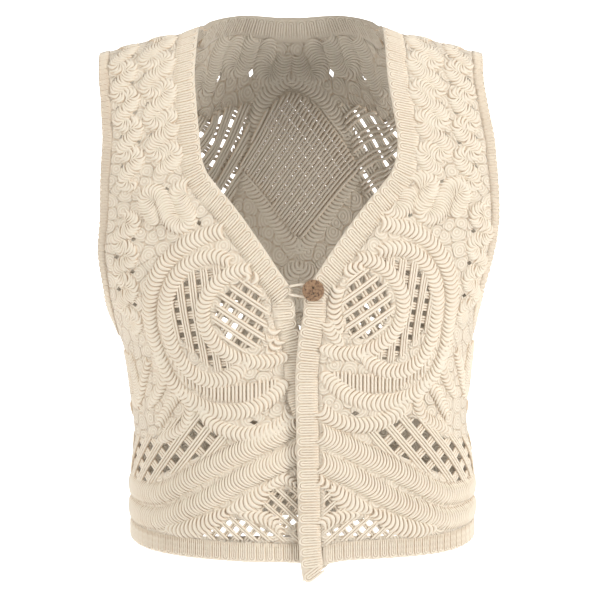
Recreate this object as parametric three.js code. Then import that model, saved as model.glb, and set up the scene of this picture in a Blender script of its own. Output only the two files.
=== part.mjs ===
// A sleeveless V-neck waistcoat in heavy corded tape lace, hollow, in the shape it has when it is worn.
// Millimetres. +Z is up and the front faces -Y. The origin is midway between the two points where
// the shoulder seams meet the neck, and the wearer's left side is at +X.
//
// Each panel is charted flat, as a lace maker charts it, and then laid on the worn form:
//   girth   is measured round the body from the centre front (or centre back), and
//   length  is measured down the body from the shoulder seam.
import * as THREE from "three";

// Driving sizes of the cloth.
const WALL = 2.4; // the ground under the tapes
const TAPE_ROUND = 0.17; // a tape's height above the ground, as a share of its width
const BAND_RISE = 1.2; // how far the ribbed bands stand above the ground
const BAND_WALL = 3.6; // the bands' whole thickness
const FRONT_BAND = 20; // widths of the ribbed bands
const HEM_BAND = 17;
const ARMHOLE_BAND = 10;
const SEAM = 0.36; // gap between neighbouring pieces
const FOLD_SEAM = 0.45; // half the gap at the shoulder seam, where the cloth turns over the shoulder
const SIDE_SEAM = 0.2; // half the gap at the side seam
const UNDERLAP = 6.6; // how far the under front lies behind the upper one
const NECK_HALF = 82; // neck point to centre
const BACK_NECK_DROP = 72; // charted length at the middle of the back neck
const NECK_NARROWING = 0.3; // how much narrower its band is charted where the cloth slopes
const UNDERARM = 300; // charted length at the lowest point of the armhole
const SIDE_TOP = 305; // charted length at the underarm section of the form
const SIDE_FOOT = 480; // charted length near the hem at the side seam

// Driving sizes of the button.
const BUTTON_RADIUS = 9.8;
const BUTTON_THICKNESS = 3.2;
const BUTTON_HOLE_RADIUS = 0.9;
const BUTTON_HOLE_SPACING = 5.2;
const BUTTON_BEVEL = 0.9;
const BUTTON_AT = { girth: 12.4, length: 260.5 };
const LOOP_RADIUS = 1.2; // the button loop's cord

// Open places in the lace.
const GAP_BITE = 1.2; // how far a gap may reach under a tape's thin edge
const GAP_FROM_EDGE = 3; // the least distance from a gap to its panel's edge
const EYELET = { long: 6, wide: 4.4 }; // the hole beside a hairpin turn

// How finely the walls are meshed: steps along lines, and the room that each point keeps round itself.
const EDGE_STEP = 12;
const CURVED_EDGE_STEP = 6;
const NECK_STEPS = 40; // steps round the back neck
const TAPE_STEP = 11;
const FILL_STEP = 17;
const INNER_STEP = 24;
const ROOM = { ridge: 5.4, valley: 5.8, fill: 10, inner: 12, edge: 6.7, gap: 3.2, foot: 4.8, shoulder: 4 };

// Rows of values under named columns.
const table = (columns, rows) =>
  rows.map((row) => Object.fromEntries(columns.map((name, i) => [name, row[i]])));

// The worn form. Each row is one section round the body; depths are forward and back of the
// shoulder line, heights are at the middle, and slope says how much of the shoulder's fall it has.
const SECTIONS = table(
  [
    "at", "frontDepth", "frontHeight", "frontSlope", "backDepth", "backHeight", "backSlope",
    "halfWidth", "power",
  ],
  [
    ["shoulder seam", 0, 55, 1, 0, 55, 1, 238, 2.5],
    ["shoulder roll", 15, 53.4, 1, 15, 53.4, 1, 236, 2.5],
    ["shoulder", 33, 41, 0.98, 34, 43, 0.99, 234, 2.5],
    ["collarbone", 51, 12, 0.92, 50, 24, 0.97, 230, 2.5],
    ["upper chest", 67, -32, 0.76, 64, -2, 0.9, 224, 2.45],
    ["yoke", 81, -88, 0.5, 78, -60, 0.66, 214, 2.4],
    ["chest", 94, -146, 0.27, 87, -126, 0.36, 203, 2.35],
    ["bust top", 104, -196, 0.1, 90, -184, 0.13, 197, 2.3],
    ["bust", 109, -238, 0, 89, -234, 0, 184, 2.25],
    ["underarm", 108, -279, 0, 86, -279, 0, 163, 2.2],
    ["under bust", 101, -322, 0, 82, -322, 0, 156, 2.2],
    ["waist", 97, -362, 0, 81, -362, 0, 153, 2.2],
    ["high hip", 99, -408, 0, 86, -408, 0, 157, 2.2],
    ["hem", 104, -470, 0, 93, -470, 0, 158, 2.2],
    ["below hem", 109, -532, 0, 100, -532, 0, 159, 2.2],
  ],
);

// How far the shoulder has fallen at each distance from the middle of the neck.
const SHOULDER_FALL = table(["across", "fall"], [
  [0, 0], [20, 2], [40, 8], [57, 20], [75, 42], [NECK_HALF, 55], [130, 69], [180, 83], [240, 100],
]);

// How the worn cloth leans: the shift of the centre line and of the sides, by distance down.
const LEAN = table(["down", "centre", "sides"], [
  [-60, 0, 0], [40, 0, 0], [75, 3.6, 0], [110, 7.3, 0], [168, 7.3, 0.8], [210, 7.3, -3],
  [258, 7.3, -5.5], [306, 7.3, 0], [348, 7.3, 0.5], [390, 7.3, 4], [540, 7.3, 4],
]);
const SIDES = 175; // the distance across at which the sides' shift is full

// The largest soft folds: troughs in the cloth, with the middle, the way each runs, its half length,
// half width and depth.
const FRONT_FOLDS = table(["name", "girth", "length", "turn", "long", "wide", "depth"], [
  ["under the bust", 118, 372, 0.5, 46, 15, 2.6],
  ["at the waist", 60, 398, 0.35, 42, 13, 1.6],
  ["into the armhole", 128, 214, -0.8, 44, 14, 2.2],
]);
const BACK_FOLDS = table(["name", "girth", "length", "turn", "long", "wide", "depth"], [
  ["small of the back", 96, 372, 0.3, 52, 16, 3],
  ["under the blade", 120, 250, -0.7, 48, 15, 2.4],
]);
const FOLD_FROM_SIDE = 34; // the folds die away this near to the side seam

// Edges of the pieces, by charted length.
const LEFT_CENTRE_EDGE = table(["length", "girth"], [
  [262, 4], [282, 3.8], [300, 0.2], [330, -2.8], [358, -3], [403, -2.2], [450, -1], [491, 0], [519, 3.6],
]);
const RIGHT_CENTRE_EDGE = table(["length", "girth"], [
  [262, 4], [285, 2.6], [300, -2], [315, -5.6], [335, -6.6], [355, -9.4], [375, -16], [400, -21],
  [450, -24], [504, -26],
]);
const NECK_EDGE = table(["length", "girth"], [
  [0, NECK_HALF], [50, 85], [100, 87], [130, 87.5], [150, 85], [170, 76.5], [188, 64], [225, 34], [262, 4],
]);
const ARMHOLE_EDGE = table(["length", "across"], [
  [0, 174.5], [60, 173.5], [98, 175], [134, 177], [182, 179], [219, 178.5], [243, 175.5], [267, 171],
]);
// The curved foot of the armhole; turn is the share of the way round to the side seam.
const ARMHOLE_FOOT = table(["length", "turn"], [[284, 0.16], [294, 0.44], [299, 0.72]]);
const LEFT_HEM = table(["girth", "length"], [
  [-30, 520], [3, 519], [12, 511.5], [26, 504], [45, 501], [130, 500], [170, 497], [215, 490],
]);
const RIGHT_HEM = table(["girth", "length"], [[-30, 504], [130, 500], [170, 497], [215, 490]]);
const BACK_HEM = table(["girth", "length"], [[-215, 490], [0, 492], [215, 490]]);

// A serpentine route: passes side by side, joined by round hairpin turns.
const DOWN = Math.PI / 2;
const OUTWARD = 0;
const HAIRPIN_BULGE = 0.42; // how far a turn swings out, as a share of the pitch
function serpentineFrame({ girth, length, travel, tilt }) {
  const along = new THREE.Vector2(Math.cos(travel), Math.sin(travel));
  const across = new THREE.Vector2(Math.cos(travel + DOWN + tilt), Math.sin(travel + DOWN + tilt));
  return (ahead, aside) => [
    girth + along.x * ahead + across.x * aside,
    length + along.y * ahead + across.y * aside,
  ];
}
function serpentine(plan) {
  const { passes, pitch, reach } = plan;
  const at = serpentineFrame(plan);
  const route = [];
  for (let pass = 0; pass < passes; pass += 1) {
    const side = pass % 2 ? -1 : 1;
    route.push(at(pass * pitch, (-side * reach) / 2), at(pass * pitch, (side * reach) / 2));
    if (pass < passes - 1) route.push(at((pass + 0.5) * pitch, side * (reach / 2 + HAIRPIN_BULGE * pitch)));
  }
  return route;
}
// The holes that are left between a serpentine's hairpins and whatever lies beside them.
function eyelets(plan) {
  const { passes, pitch, reach, travel, tilt } = plan;
  const at = serpentineFrame(plan);
  const found = [];
  for (let pass = 1; pass < passes - 2; pass += 1) {
    const side = pass % 2 ? 1 : -1;
    const [girth, length] = at((pass + 0.5) * pitch, side * (reach / 2 + HAIRPIN_BULGE * pitch + 0.5));
    found.push({ girth, length, ...EYELET, turn: travel + DOWN + tilt });
  }
  return found;
}

// Serpentines, by where each starts, how many passes it has and how they lie.
const PLAN = ["name", "width", "girth", "length", "passes", "pitch", "reach", "travel", "tilt"];
const SHOULDER_SERPENTINES = table(PLAN, [
  ["neck serpentine", 13.5, 120, 16, 10, 15, 10, DOWN, 0.42],
  ["armhole serpentine", 13, 151, 14, 11, 15, 3, DOWN, 0.42],
]);
const SIDE_SERPENTINES = table(PLAN, [
  ["bust serpentine", 14.5, 82, 176, 5, 15.5, 22, OUTWARD + 0.1, 0.3],
  ["side serpentine", 13, 168, 186, 8, 15, 3, DOWN, 0.1],
  ["waist serpentine", 14, 181, 334, 2, 15, 38, OUTWARD, 0.3],
]);
const BACK_SERPENTINES = table(PLAN, [
  ["neck serpentine", 15, 9, 107, 6, 17, 13, OUTWARD - 0.42, 0],
  ["armhole serpentine", 13, 150, 14, 19, 15, 3, DOWN, 0.42],
  ["blade serpentine", 13.5, 120, 16, 6, 15, 6, DOWN, 0.42],
]);

// Scrolls: arcs round a middle, in degrees from outward (0) by down (90), that open by a share
// towards their end.
const SCROLLS = table(["name", "width", "girth", "length", "wide", "tall", "from", "to", "open"], [
  ["outer scroll", 16, 82, 281, 63, 75, -122, 142, 1.2],
  ["middle scroll", 15, 88, 279, 41, 54, -115, 135, 1.05],
  ["inner scroll", 14, 52, 274, 42, 38, -90, 125, 1.25],
  ["window edge", 13, 56, 276, 25, 34, -90, -215, 1],
  ["under scroll", 15, 56, 350, 44, 32, 165, 20, 1],
]);
const SCROLL_STEP = 20; // degrees
function scroll({ girth, length, wide, tall, from, to, open }) {
  const steps = Math.ceil(Math.abs(to - from) / SCROLL_STEP);
  return Array.from({ length: steps + 1 }, (_, i) => {
    const angle = THREE.MathUtils.degToRad(from + ((to - from) * i) / steps);
    const size = 1 + (open - 1) * (i / steps) ** 4;
    return [girth + size * wide * Math.cos(angle), length + size * tall * Math.sin(angle)];
  });
}

// Tapes: a width and the route of the middle, in girth and length. Both fronts share these charts;
// the right front's scrolls and curls lie a little nearer the middle and lower.
const TAPE = ["name", "width", "route"];
const CURLS = table(TAPE, [
  ["window foot", 13, [[24, 282], [28, 296], [36, 307]]],
  ["upper curl", 12, [[146, 312], [136, 325], [140, 341], [154, 359]]],
  ["side curl", 12, [[155, 320], [163, 336], [168, 352]]],
  ["lower curl", 12, [[145, 378], [130, 356], [118, 347], [110, 360], [118, 378], [144, 391]]],
]);
const HEM_TAPES = table(TAPE, [
  ["upper sweep", 21, [[-8, 377], [14, 387], [46, 403], [84, 422], [124, 443], [150, 448], [208, 444]]],
  ["lower sweep", 21, [[-8, 403], [14, 413], [46, 427], [84, 449], [124, 466], [150, 470], [208, 464]]],
  ["corner leaf", 12, [[2, 434], [14, 429], [28, 437]]],
  ["long leaf", 18, [[29, 437], [42, 449], [61, 457]]],
  ["hem leaf", 18, [[66, 460], [86, 471], [108, 477], [123, 477]]],
  ["small leaf", 13, [[16, 477], [22, 468], [34, 463], [50, 461]]],
]);
const LEFT_SHIFT = { girth: 0, length: 0 };
const RIGHT_SHIFT = { girth: -10, length: 8 };

// Open lattice: its outline, the spacing and width of its gaps, and the bars' angle.
const WINDOW = ["name", "pitch", "gap", "angle", "outline"];
const SCROLL_WINDOWS = table(WINDOW, [
  ["bust window", 10.6, 5, -0.6, [[58, 244], [76, 256], [84, 276], [76, 294], [58, 306], [43, 301],
    [39, 276], [44, 252]]],
  ["scroll window", 11.4, 4.4, 1.7, [[74, 234], [104, 236], [122, 260], [119, 296], [84, 325], [62, 322],
    [84, 308], [98, 284], [94, 254]]],
]);
const HEM_WINDOWS = table(WINDOW, [
  ["waist window", 15, 7, 0.87, [[62, 390], [90, 374], [110, 378], [140, 398], [200, 402], [200, 436],
    [156, 439], [119, 424], [76, 404]]],
  ["upper hem window", 8.6, 4.2, -0.72, [[-4, 441], [28, 439], [41, 455], [34, 461], [15, 474], [-4, 466]]],
  ["lower hem window", 8.6, 4.2, -0.72, [[-6, 478], [18, 480], [34, 471], [58, 463], [90, 481], [118, 486],
    [132, 483], [120, 490], [-6, 491]]],
]);

// Single holes between the scrolls.
const HOLES = table(["girth", "length", "long", "wide", "turn"], [
  [50, 371, 8, 4.6, 0.05],
  [39, 243, 5, 4.4, -0.8],
]);

// The tapes of one half of the back; the other half is its mirror image.
const BACK_TAPES = table(TAPE, [
  ["diamond top", 17, [[0, 117], [24, 127], [44, 148], [60, 164], [88, 168]]],
  ["diamond foot", 18, [[58, 174], [34, 200], [12, 226], [0, 238]]],
  ["lower foot", 17, [[0, 251], [16, 262], [36, 270]]],
  ["outer foot", 18, [[96, 196], [76, 226], [48, 250], [20, 280], [0, 290]]],
  ["back scroll", 18, [[16, 362], [44, 366], [76, 352], [96, 322], [96, 288], [78, 266], [54, 276],
    [42, 300], [48, 324], [66, 330]]],
  ["side curl", 18, [[182, 340], [160, 352], [134, 344], [122, 320], [128, 294], [150, 284], [166, 298],
    [158, 316], [146, 318]]],
  ["waist arch", 18, [[0, 384], [30, 386], [66, 380], [100, 366], [128, 374], [160, 384], [192, 374]]],
  ["upper sweep", 21, [[0, 404], [34, 408], [72, 424], [108, 440], [140, 446], [170, 449], [208, 443]]],
  ["lower sweep", 21, [[0, 427], [34, 431], [72, 446], [108, 461], [140, 467], [170, 470], [208, 464]]],
]);
const BACK_WINDOWS = table(WINDOW, [
  ["shoulder field", 14, 4.3, 0.785, [[44, 132], [76, 122], [100, 104], [136, 124], [136, 250], [96, 250],
    [60, 182]]],
  ["scroll eye", 10.8, 5.4, 0.5, [[54, 284], [80, 276], [92, 300], [84, 326], [66, 322], [52, 306]]],
  ["centre field", 10.8, 5.4, 0.785, [[0, 304], [16, 294], [30, 312], [32, 340], [16, 352], [0, 352]]],
  ["hem field", 9.6, 4.5, 0.785, [[4, 442], [36, 446], [74, 460], [110, 476], [40, 484], [4, 484]]],
]);

// Smooth interpolation through a table's rows that never overshoots them.
function smooth(xs, ys) {
  const last = xs.length - 1;
  const step = xs.slice(1).map((x, i) => x - xs[i]);
  const rise = step.map((h, i) => (ys[i + 1] - ys[i]) / h);
  const tangent = xs.map((_, i) => {
    if (i === 0) return rise[0];
    if (i === last) return rise[last - 1];
    if (rise[i - 1] * rise[i] <= 0) return 0;
    const [a, b] = [2 * step[i] + step[i - 1], step[i] + 2 * step[i - 1]];
    return (a + b) / (a / rise[i - 1] + b / rise[i]);
  });
  return (x) => {
    let i = 0;
    while (i < last - 1 && x > xs[i + 1]) i += 1;
    const t = (x - xs[i]) / step[i];
    const [t2, t3] = [t * t, t * t * t];
    return (
      (2 * t3 - 3 * t2 + 1) * ys[i] +
      (t3 - 2 * t2 + t) * step[i] * tangent[i] +
      (3 * t2 - 2 * t3) * ys[i + 1] +
      (t3 - t2) * step[i] * tangent[i + 1]
    );
  };
}
const column = (table, from, to) => smooth(table.map((row) => row[from]), table.map((row) => row[to]));
const shoulderFall = column(SHOULDER_FALL, "across", "fall");
const centreLean = column(LEAN, "down", "centre");
const sideLean = column(LEAN, "down", "sides");

// One side of the worn form, front or back, as a map from the flat chart to the body.
class Form {
  static PER_SECTION = 20;
  static ROWS = Form.PER_SECTION * (SECTIONS.length - 1);
  static ARCS = 240;
  static REFERENCE = 105; // the distance across at which length is measured

  constructor(side, facing) {
    const index = SECTIONS.map((_, i) => i);
    const read = (key) => smooth(index, SECTIONS.map((row) => row[key]));
    const [depth, height, slope] = [read(side + "Depth"), read(side + "Height"), read(side + "Slope")];
    const [halfWidth, power] = [read("halfWidth"), read("power")];
    this.facing = facing;
    this.rows = [];
    for (let row = 0; row <= Form.ROWS; row += 1) {
      const level = row / Form.PER_SECTION;
      const bend = 2 / power(level);
      const points = [];
      for (let arc = 0; arc <= Form.ARCS; arc += 1) {
        const turn = ((arc / Form.ARCS) * Math.PI) / 2;
        const x = halfWidth(level) * Math.sin(turn) ** bend;
        const y = arc === Form.ARCS ? 0 : facing * depth(level) * Math.cos(turn) ** bend;
        points.push(new THREE.Vector3(x, y, height(level) - slope(level) * shoulderFall(x)));
      }
      const girths = [0];
      for (let arc = 1; arc <= Form.ARCS; arc += 1) {
        const [a, b] = [points[arc - 1], points[arc]];
        girths.push(girths[arc - 1] + Math.hypot(b.x - a.x, b.y - a.y));
      }
      this.rows.push({ points, girths });
    }
    this.lengths = [0];
    for (let row = 1; row <= Form.ROWS; row += 1) {
      const [a, b] = [row - 1, row].map((r) => Form.along(this.rows[r], Form.REFERENCE, "x"));
      this.lengths.push(this.lengths[row - 1] + a.distanceTo(b));
    }
    this.easeToSideSeam();
  }

  // Front and back are eased to one length at the underarm and measured by height below it.
  easeToSideSeam() {
    const underarm = Form.PER_SECTION * SECTIONS.findIndex((row) => row.at === "underarm");
    const ease = SIDE_TOP / this.lengths[underarm];
    const top = this.rows[underarm].points.at(-1).z;
    this.lengths = this.lengths.map((length, row) =>
      row <= underarm ? length * ease : SIDE_TOP + top - this.rows[row].points.at(-1).z);
  }

  // The point of a row at a girth, or at a distance across.
  static along({ points, girths }, at, by = "girth") {
    const value = by === "x" ? (i) => points[i].x : (i) => girths[i];
    let [low, high] = [0, points.length - 1];
    while (high - low > 1) {
      const middle = (low + high) >> 1;
      if (value(middle) > at) high = middle;
      else low = middle;
    }
    const share = (at - value(low)) / (value(high) - value(low));
    return points[low].clone().lerp(points[high], Math.min(share, 1));
  }

  place(length) {
    let [low, high] = [0, this.lengths.length - 1];
    while (high - low > 1) {
      const middle = (low + high) >> 1;
      if (this.lengths[middle] > length) high = middle;
      else low = middle;
    }
    return [low, (length - this.lengths[low]) / (this.lengths[high] - this.lengths[low])];
  }

  sideGirth(length) {
    const [row, share] = this.place(length);
    const [a, b] = [this.rows[row].girths.at(-1), this.rows[row + 1].girths.at(-1)];
    return a + (b - a) * share;
  }

  girthAcross(length, across) {
    const [row] = this.place(length);
    const { points, girths } = this.rows[row];
    const arc = points.findIndex((p) => p.x >= across);
    if (arc < 1) return this.sideGirth(length);
    const share = (across - points[arc - 1].x) / (points[arc].x - points[arc - 1].x);
    return girths[arc - 1] + share * (girths[arc] - girths[arc - 1]);
  }

  ground(girth, length) {
    const [row, share] = this.place(length);
    const a = Form.along(this.rows[row], Math.abs(girth));
    const p = a.lerp(Form.along(this.rows[row + 1], Math.abs(girth)), share);
    if (girth < 0) p.x = -p.x;
    return p;
  }

  normal(girth, length) {
    const reach = 1.5;
    const side = this.sideGirth(length);
    const [west, east] = [Math.max(girth - reach, -side), Math.min(girth + reach, side)];
    const round = this.ground(east, length).sub(this.ground(west, length));
    const down = this.ground(girth, length + reach).sub(this.ground(girth, Math.max(length - reach, 0)));
    const out = round.cross(down).multiplyScalar(this.facing);
    out.y *= 1 - THREE.MathUtils.smoothstep(Math.abs(girth), side - 4, side - 0.5);
    return out.normalize();
  }

  point(girth, length, out = 0) {
    return this.ground(girth, length).addScaledVector(this.normal(girth, length), out);
  }
}
const FRONT = new Form("front", -1);
const BACK = new Form("back", 1);

// How far the soft folds lower the cloth at a charted point.
function foldDepth(form, girth, length) {
  const folds = form === FRONT ? FRONT_FOLDS : BACK_FOLDS;
  const side = THREE.MathUtils.smoothstep(form.sideGirth(length) - Math.abs(girth), 0, FOLD_FROM_SIDE);
  return side * folds.reduce((sum, fold) => {
    const [dx, dy] = [Math.abs(girth) - fold.girth, length - fold.length];
    const [along, across] = [Math.cos(fold.turn), Math.sin(fold.turn)];
    const [u, v] = [(dx * along + dy * across) / fold.long, (dy * along - dx * across) / fold.wide];
    return sum + fold.depth * Math.exp(-u * u - v * v);
  }, 0);
}

// Where a charted point lies on the worn garment, moved out from the ground.
function worn(form, { mirror = false, sink = () => 0 } = {}) {
  return (girth, length, out) => {
    const p = form.point(girth, length, out - sink(girth, length) - foldDepth(form, girth, length));
    if (mirror) p.x = -p.x;
    p.x += centreLean(-p.z) + sideLean(-p.z) * (p.x / SIDES) ** 2;
    return p;
  };
}

// Flat geometry of the chart.
const flat = ([girth, length]) => new THREE.Vector2(girth, length);
const axes = (angle) => [
  new THREE.Vector2(Math.cos(angle), Math.sin(angle)),
  new THREE.Vector2(-Math.sin(angle), Math.cos(angle)),
];
const spline = (route) => new THREE.SplineCurve(route.map(flat));
function spaced(curve, step) {
  return curve.getSpacedPoints(Math.max(2, Math.round(curve.getLength() / step)));
}
function straight(from, to, step) {
  return spaced(new THREE.LineCurve(from, to), step);
}
function normals(line) {
  return line.map((_, i) => {
    const [a, b] = [line[Math.max(i - 1, 0)], line[Math.min(i + 1, line.length - 1)]];
    const d = b.clone().sub(a).normalize();
    return new THREE.Vector2(-d.y, d.x);
  });
}
function offset(line, distance) {
  const out = normals(line);
  return line.map((p, i) => p.clone().addScaledVector(out[i], distance));
}
// A line beside another at a true width on the worn cloth, which the chart may show narrower, and
// a seam's gap farther.
function beside(form, line, width, gap = 0) {
  const out = normals(line);
  return line.map((p, i) => {
    const far = p.clone().addScaledVector(out[i], width);
    const [here, there] = [p, far].map(({ x, y }) => form.ground(x, Math.max(y, 0)));
    const share = THREE.MathUtils.clamp(width / here.distanceTo(there), 0.6, 1.1);
    return p.clone().lerp(far, width > 0 ? share : 1).addScaledVector(out[i], gap);
  });
}
function inside(p, polygon) {
  let within = false;
  polygon.forEach((a, i) => {
    const b = polygon[(i + 1) % polygon.length];
    if (a.y > p.y !== b.y > p.y && p.x < ((b.x - a.x) * (p.y - a.y)) / (b.y - a.y) + a.x) within = !within;
  });
  return within;
}
function awayFrom(p, a, b) {
  const d = b.clone().sub(a);
  const t = THREE.MathUtils.clamp(p.clone().sub(a).dot(d) / d.lengthSq(), 0, 1);
  return p.distanceTo(a.clone().addScaledVector(d, t));
}
const edgeDistance = (p, polygon) =>
  Math.min(...polygon.map((a, i) => awayFrom(p, a, polygon[(i + 1) % polygon.length])));

// The edges of a front and of the back, as lines on the chart.
const tableLine = (table, step) => spaced(spline(table.map(({ girth, length }) => [girth, length])), step);
function centreAndNeck(centre) {
  const upright = tableLine([...centre].reverse(), EDGE_STEP);
  const neck = tableLine([...NECK_EDGE].reverse(), EDGE_STEP);
  return [...upright.slice(0, -1), ...neck];
}
function armhole(form) {
  const upright = ARMHOLE_EDGE.map(({ length, across }) => [form.girthAcross(length, across), length]);
  const last = upright.at(-1)[0];
  const foot = ARMHOLE_FOOT.map(({ length, turn }) =>
    [THREE.MathUtils.lerp(last, form.sideGirth(length), turn), length]);
  return spaced(spline([...upright, ...foot, [form.sideGirth(UNDERARM), UNDERARM]]), CURVED_EDGE_STEP);
}

// Delaunay triangles of a set of points on the chart, by adding one point at a time.
function delaunay(points) {
  const far = 4000;
  const all = [...points.map((p, i) => ({
    x: p.x + 1e-3 * Math.sin(i * 12.9898),
    y: p.y + 1e-3 * Math.sin(i * 78.233),
  })), { x: -far, y: -far }, { x: far, y: -far }, { x: 0, y: far }];
  const n = points.length;
  const circle = (a, b, c) => {
    const [A, B, C] = [all[a], all[b], all[c]];
    const d = 2 * (A.x * (B.y - C.y) + B.x * (C.y - A.y) + C.x * (A.y - B.y));
    const [a2, b2, c2] = [A, B, C].map((p) => p.x * p.x + p.y * p.y);
    const x = (a2 * (B.y - C.y) + b2 * (C.y - A.y) + c2 * (A.y - B.y)) / d;
    const y = (a2 * (C.x - B.x) + b2 * (A.x - C.x) + c2 * (B.x - A.x)) / d;
    return { corners: [a, b, c], x, y, r2: (A.x - x) ** 2 + (A.y - y) ** 2 };
  };
  let triangles = [circle(n, n + 1, n + 2)];
  for (let i = 0; i < n; i += 1) {
    const p = all[i];
    const edges = new Map();
    triangles = triangles.filter((t) => {
      if ((p.x - t.x) ** 2 + (p.y - t.y) ** 2 >= t.r2) return true;
      t.corners.forEach((a, k) => {
        const b = t.corners[(k + 1) % 3];
        const twin = `${b}_${a}`;
        if (edges.has(twin)) edges.delete(twin);
        else edges.set(`${a}_${b}`, [a, b]);
      });
      return false;
    });
    for (const [a, b] of edges.values()) triangles.push(circle(a, b, i));
  }
  return triangles.map((t) => t.corners).filter((t) => t.every((i) => i < n));
}

// A panel of lace: an outline, tapes that stand up, lattice windows with open gaps, and single holes.
class Lace {
  static MOST_BARS = 14; // bars that are tried on each side of a window's middle

  constructor(outline, tapes, windows, holes) {
    this.outline = outline;
    this.tapes = tapes.map((tape) => {
      const curve = spline(tape.route);
      return { ...tape, curve, fine: spaced(curve, 3) };
    });
    this.gaps = [...windows.flatMap((window) => this.lattice(window)), ...this.singleHoles(holes)];
  }

  tapeHeight(p) {
    let height = 0;
    for (const { fine, width } of this.tapes) {
      const half = width / 2;
      const reach = Math.min(...fine.map((q) => q.distanceTo(p)));
      if (reach < half) height = Math.max(height, TAPE_ROUND * width * Math.sqrt(1 - (reach / half) ** 2));
    }
    return height;
  }

  clearOfTapes(p, margin) {
    return this.tapes.every(({ fine, width }) => fine.every((q) => q.distanceTo(p) > width / 2 + margin));
  }

  // The square gaps of a window that lie clear of its edge, of the tapes and of the panel's edge.
  lattice({ outline, pitch, gap, angle }) {
    const polygon = outline.map(flat);
    const [along, across] = axes(angle);
    const centre = polygon.reduce((sum, p) => sum.add(p), new THREE.Vector2()).divideScalar(polygon.length);
    const squares = [];
    for (let i = -Lace.MOST_BARS; i <= Lace.MOST_BARS; i += 1) {
      for (let j = -Lace.MOST_BARS; j <= Lace.MOST_BARS; j += 1) {
        const middle = centre.clone().addScaledVector(along, i * pitch).addScaledVector(across, j * pitch);
        const corners = [[-1, -1], [1, -1], [1, 1], [-1, 1]].map(([a, b]) =>
          middle.clone().addScaledVector(along, (a * gap) / 2).addScaledVector(across, (b * gap) / 2));
        if (corners.every((p) => inside(p, polygon) && this.canOpen(p))) squares.push(corners);
      }
    }
    return squares;
  }

  canOpen(p) {
    return this.clearOfTapes(p, -GAP_BITE) && inside(p, this.outline) &&
      edgeDistance(p, this.outline) > GAP_FROM_EDGE;
  }

  // Four-cornered holes, longest the way each is turned, where the tapes leave room for them.
  singleHoles(holes) {
    return holes.map(({ girth, length, long, wide, turn }) => {
      const [along, across] = axes(turn);
      return [[long, 0], [0, wide], [-long, 0], [0, -wide]].map(([a, b]) =>
        flat([girth, length]).addScaledVector(along, a / 2).addScaledVector(across, b / 2));
    }).filter((corners) => corners.every((p) => this.canOpen(p)));
  }

  inGap(p, margin) {
    return this.gaps.some((corners) => inside(p, corners) || edgeDistance(p, corners) < margin);
  }

  // Points for a sheet: the outline, the gaps' corners, then whatever candidates keep their distance.
  sheetPoints(candidates) {
    const kept = [...this.outline, ...this.gaps.flat()];
    for (const { p, room } of candidates) {
      const free = inside(p, this.outline) && edgeDistance(p, this.outline) > ROOM.edge &&
        kept.every((q) => q.distanceTo(p) > room) && !this.inGap(p, ROOM.gap);
      if (free) kept.push(p);
    }
    return kept;
  }

  grid(step, room) {
    const box = new THREE.Box2().setFromPoints(this.outline);
    const found = [];
    for (let y = box.min.y; y < box.max.y; y += step) {
      for (let x = box.min.x; x < box.max.x; x += step) found.push({ p: new THREE.Vector2(x, y), room });
    }
    return found;
  }

  triangles(points) {
    return delaunay(points).filter((t) => {
      const middle = t.reduce((sum, i) => sum.add(points[i]), new THREE.Vector2()).divideScalar(3);
      return inside(middle, this.outline) && !this.gaps.some((corners) => inside(middle, corners));
    });
  }

  // The closed wall: the outer sheet carries the tapes and the inner one is plain.
  wall(place) {
    const lines = this.tapes.map(({ curve, width }) => ({ line: spaced(curve, TAPE_STEP), width }));
    const ridges = lines.flatMap(({ line }) => line.map((p) => ({ p, room: ROOM.ridge })));
    const valleys = lines.flatMap(({ line, width }) =>
      [width / 2, -width / 2].flatMap((d) => offset(line, d)).map((p) => ({ p, room: ROOM.valley })));
    const outer = this.sheetPoints([...ridges, ...valleys, ...this.grid(FILL_STEP, ROOM.fill)]);
    const inner = this.sheetPoints(this.grid(INNER_STEP, ROOM.inner));
    const outside = this.triangles(outer);
    const insides = this.triangles(inner);
    const shared = this.outline.length + this.gaps.flat().length;
    const positions = [
      ...outer.map((p) => place(p.x, p.y, this.tapeHeight(p))),
      ...inner.map((p) => place(p.x, p.y, -WALL)),
    ];
    const rim = new Map();
    for (const t of outside) {
      t.forEach((a, k) => {
        const b = t[(k + 1) % 3];
        if (rim.has(`${b}_${a}`)) rim.delete(`${b}_${a}`);
        else rim.set(`${a}_${b}`, [a, b]);
      });
    }
    const under = (i) => outer.length + i;
    const faces = [...outside, ...insides.map(([a, b, c]) => [under(a), under(c), under(b)])];
    for (const [a, b] of rim.values()) {
      if (Math.max(a, b) >= shared) throw new Error(`a broken edge near ${outer[a].toArray()}`);
      faces.push([a, under(a), b], [b, under(a), under(b)]);
    }
    return solid(positions, faces);
  }
}

// A closed mesh from points and triangles, turned to face outwards.
function solid(positions, faces) {
  let volume = 0;
  for (const [a, b, c] of faces) {
    volume += positions[a].dot(positions[b].clone().cross(positions[c]));
  }
  const turned = volume < 0 ? faces.map(([a, b, c]) => [a, c, b]) : faces;
  return new THREE.BufferGeometry()
    .setAttribute("position", new THREE.Float32BufferAttribute(positions.flatMap((p) => p.toArray()), 3))
    .setIndex(turned.flat());
}

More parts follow.
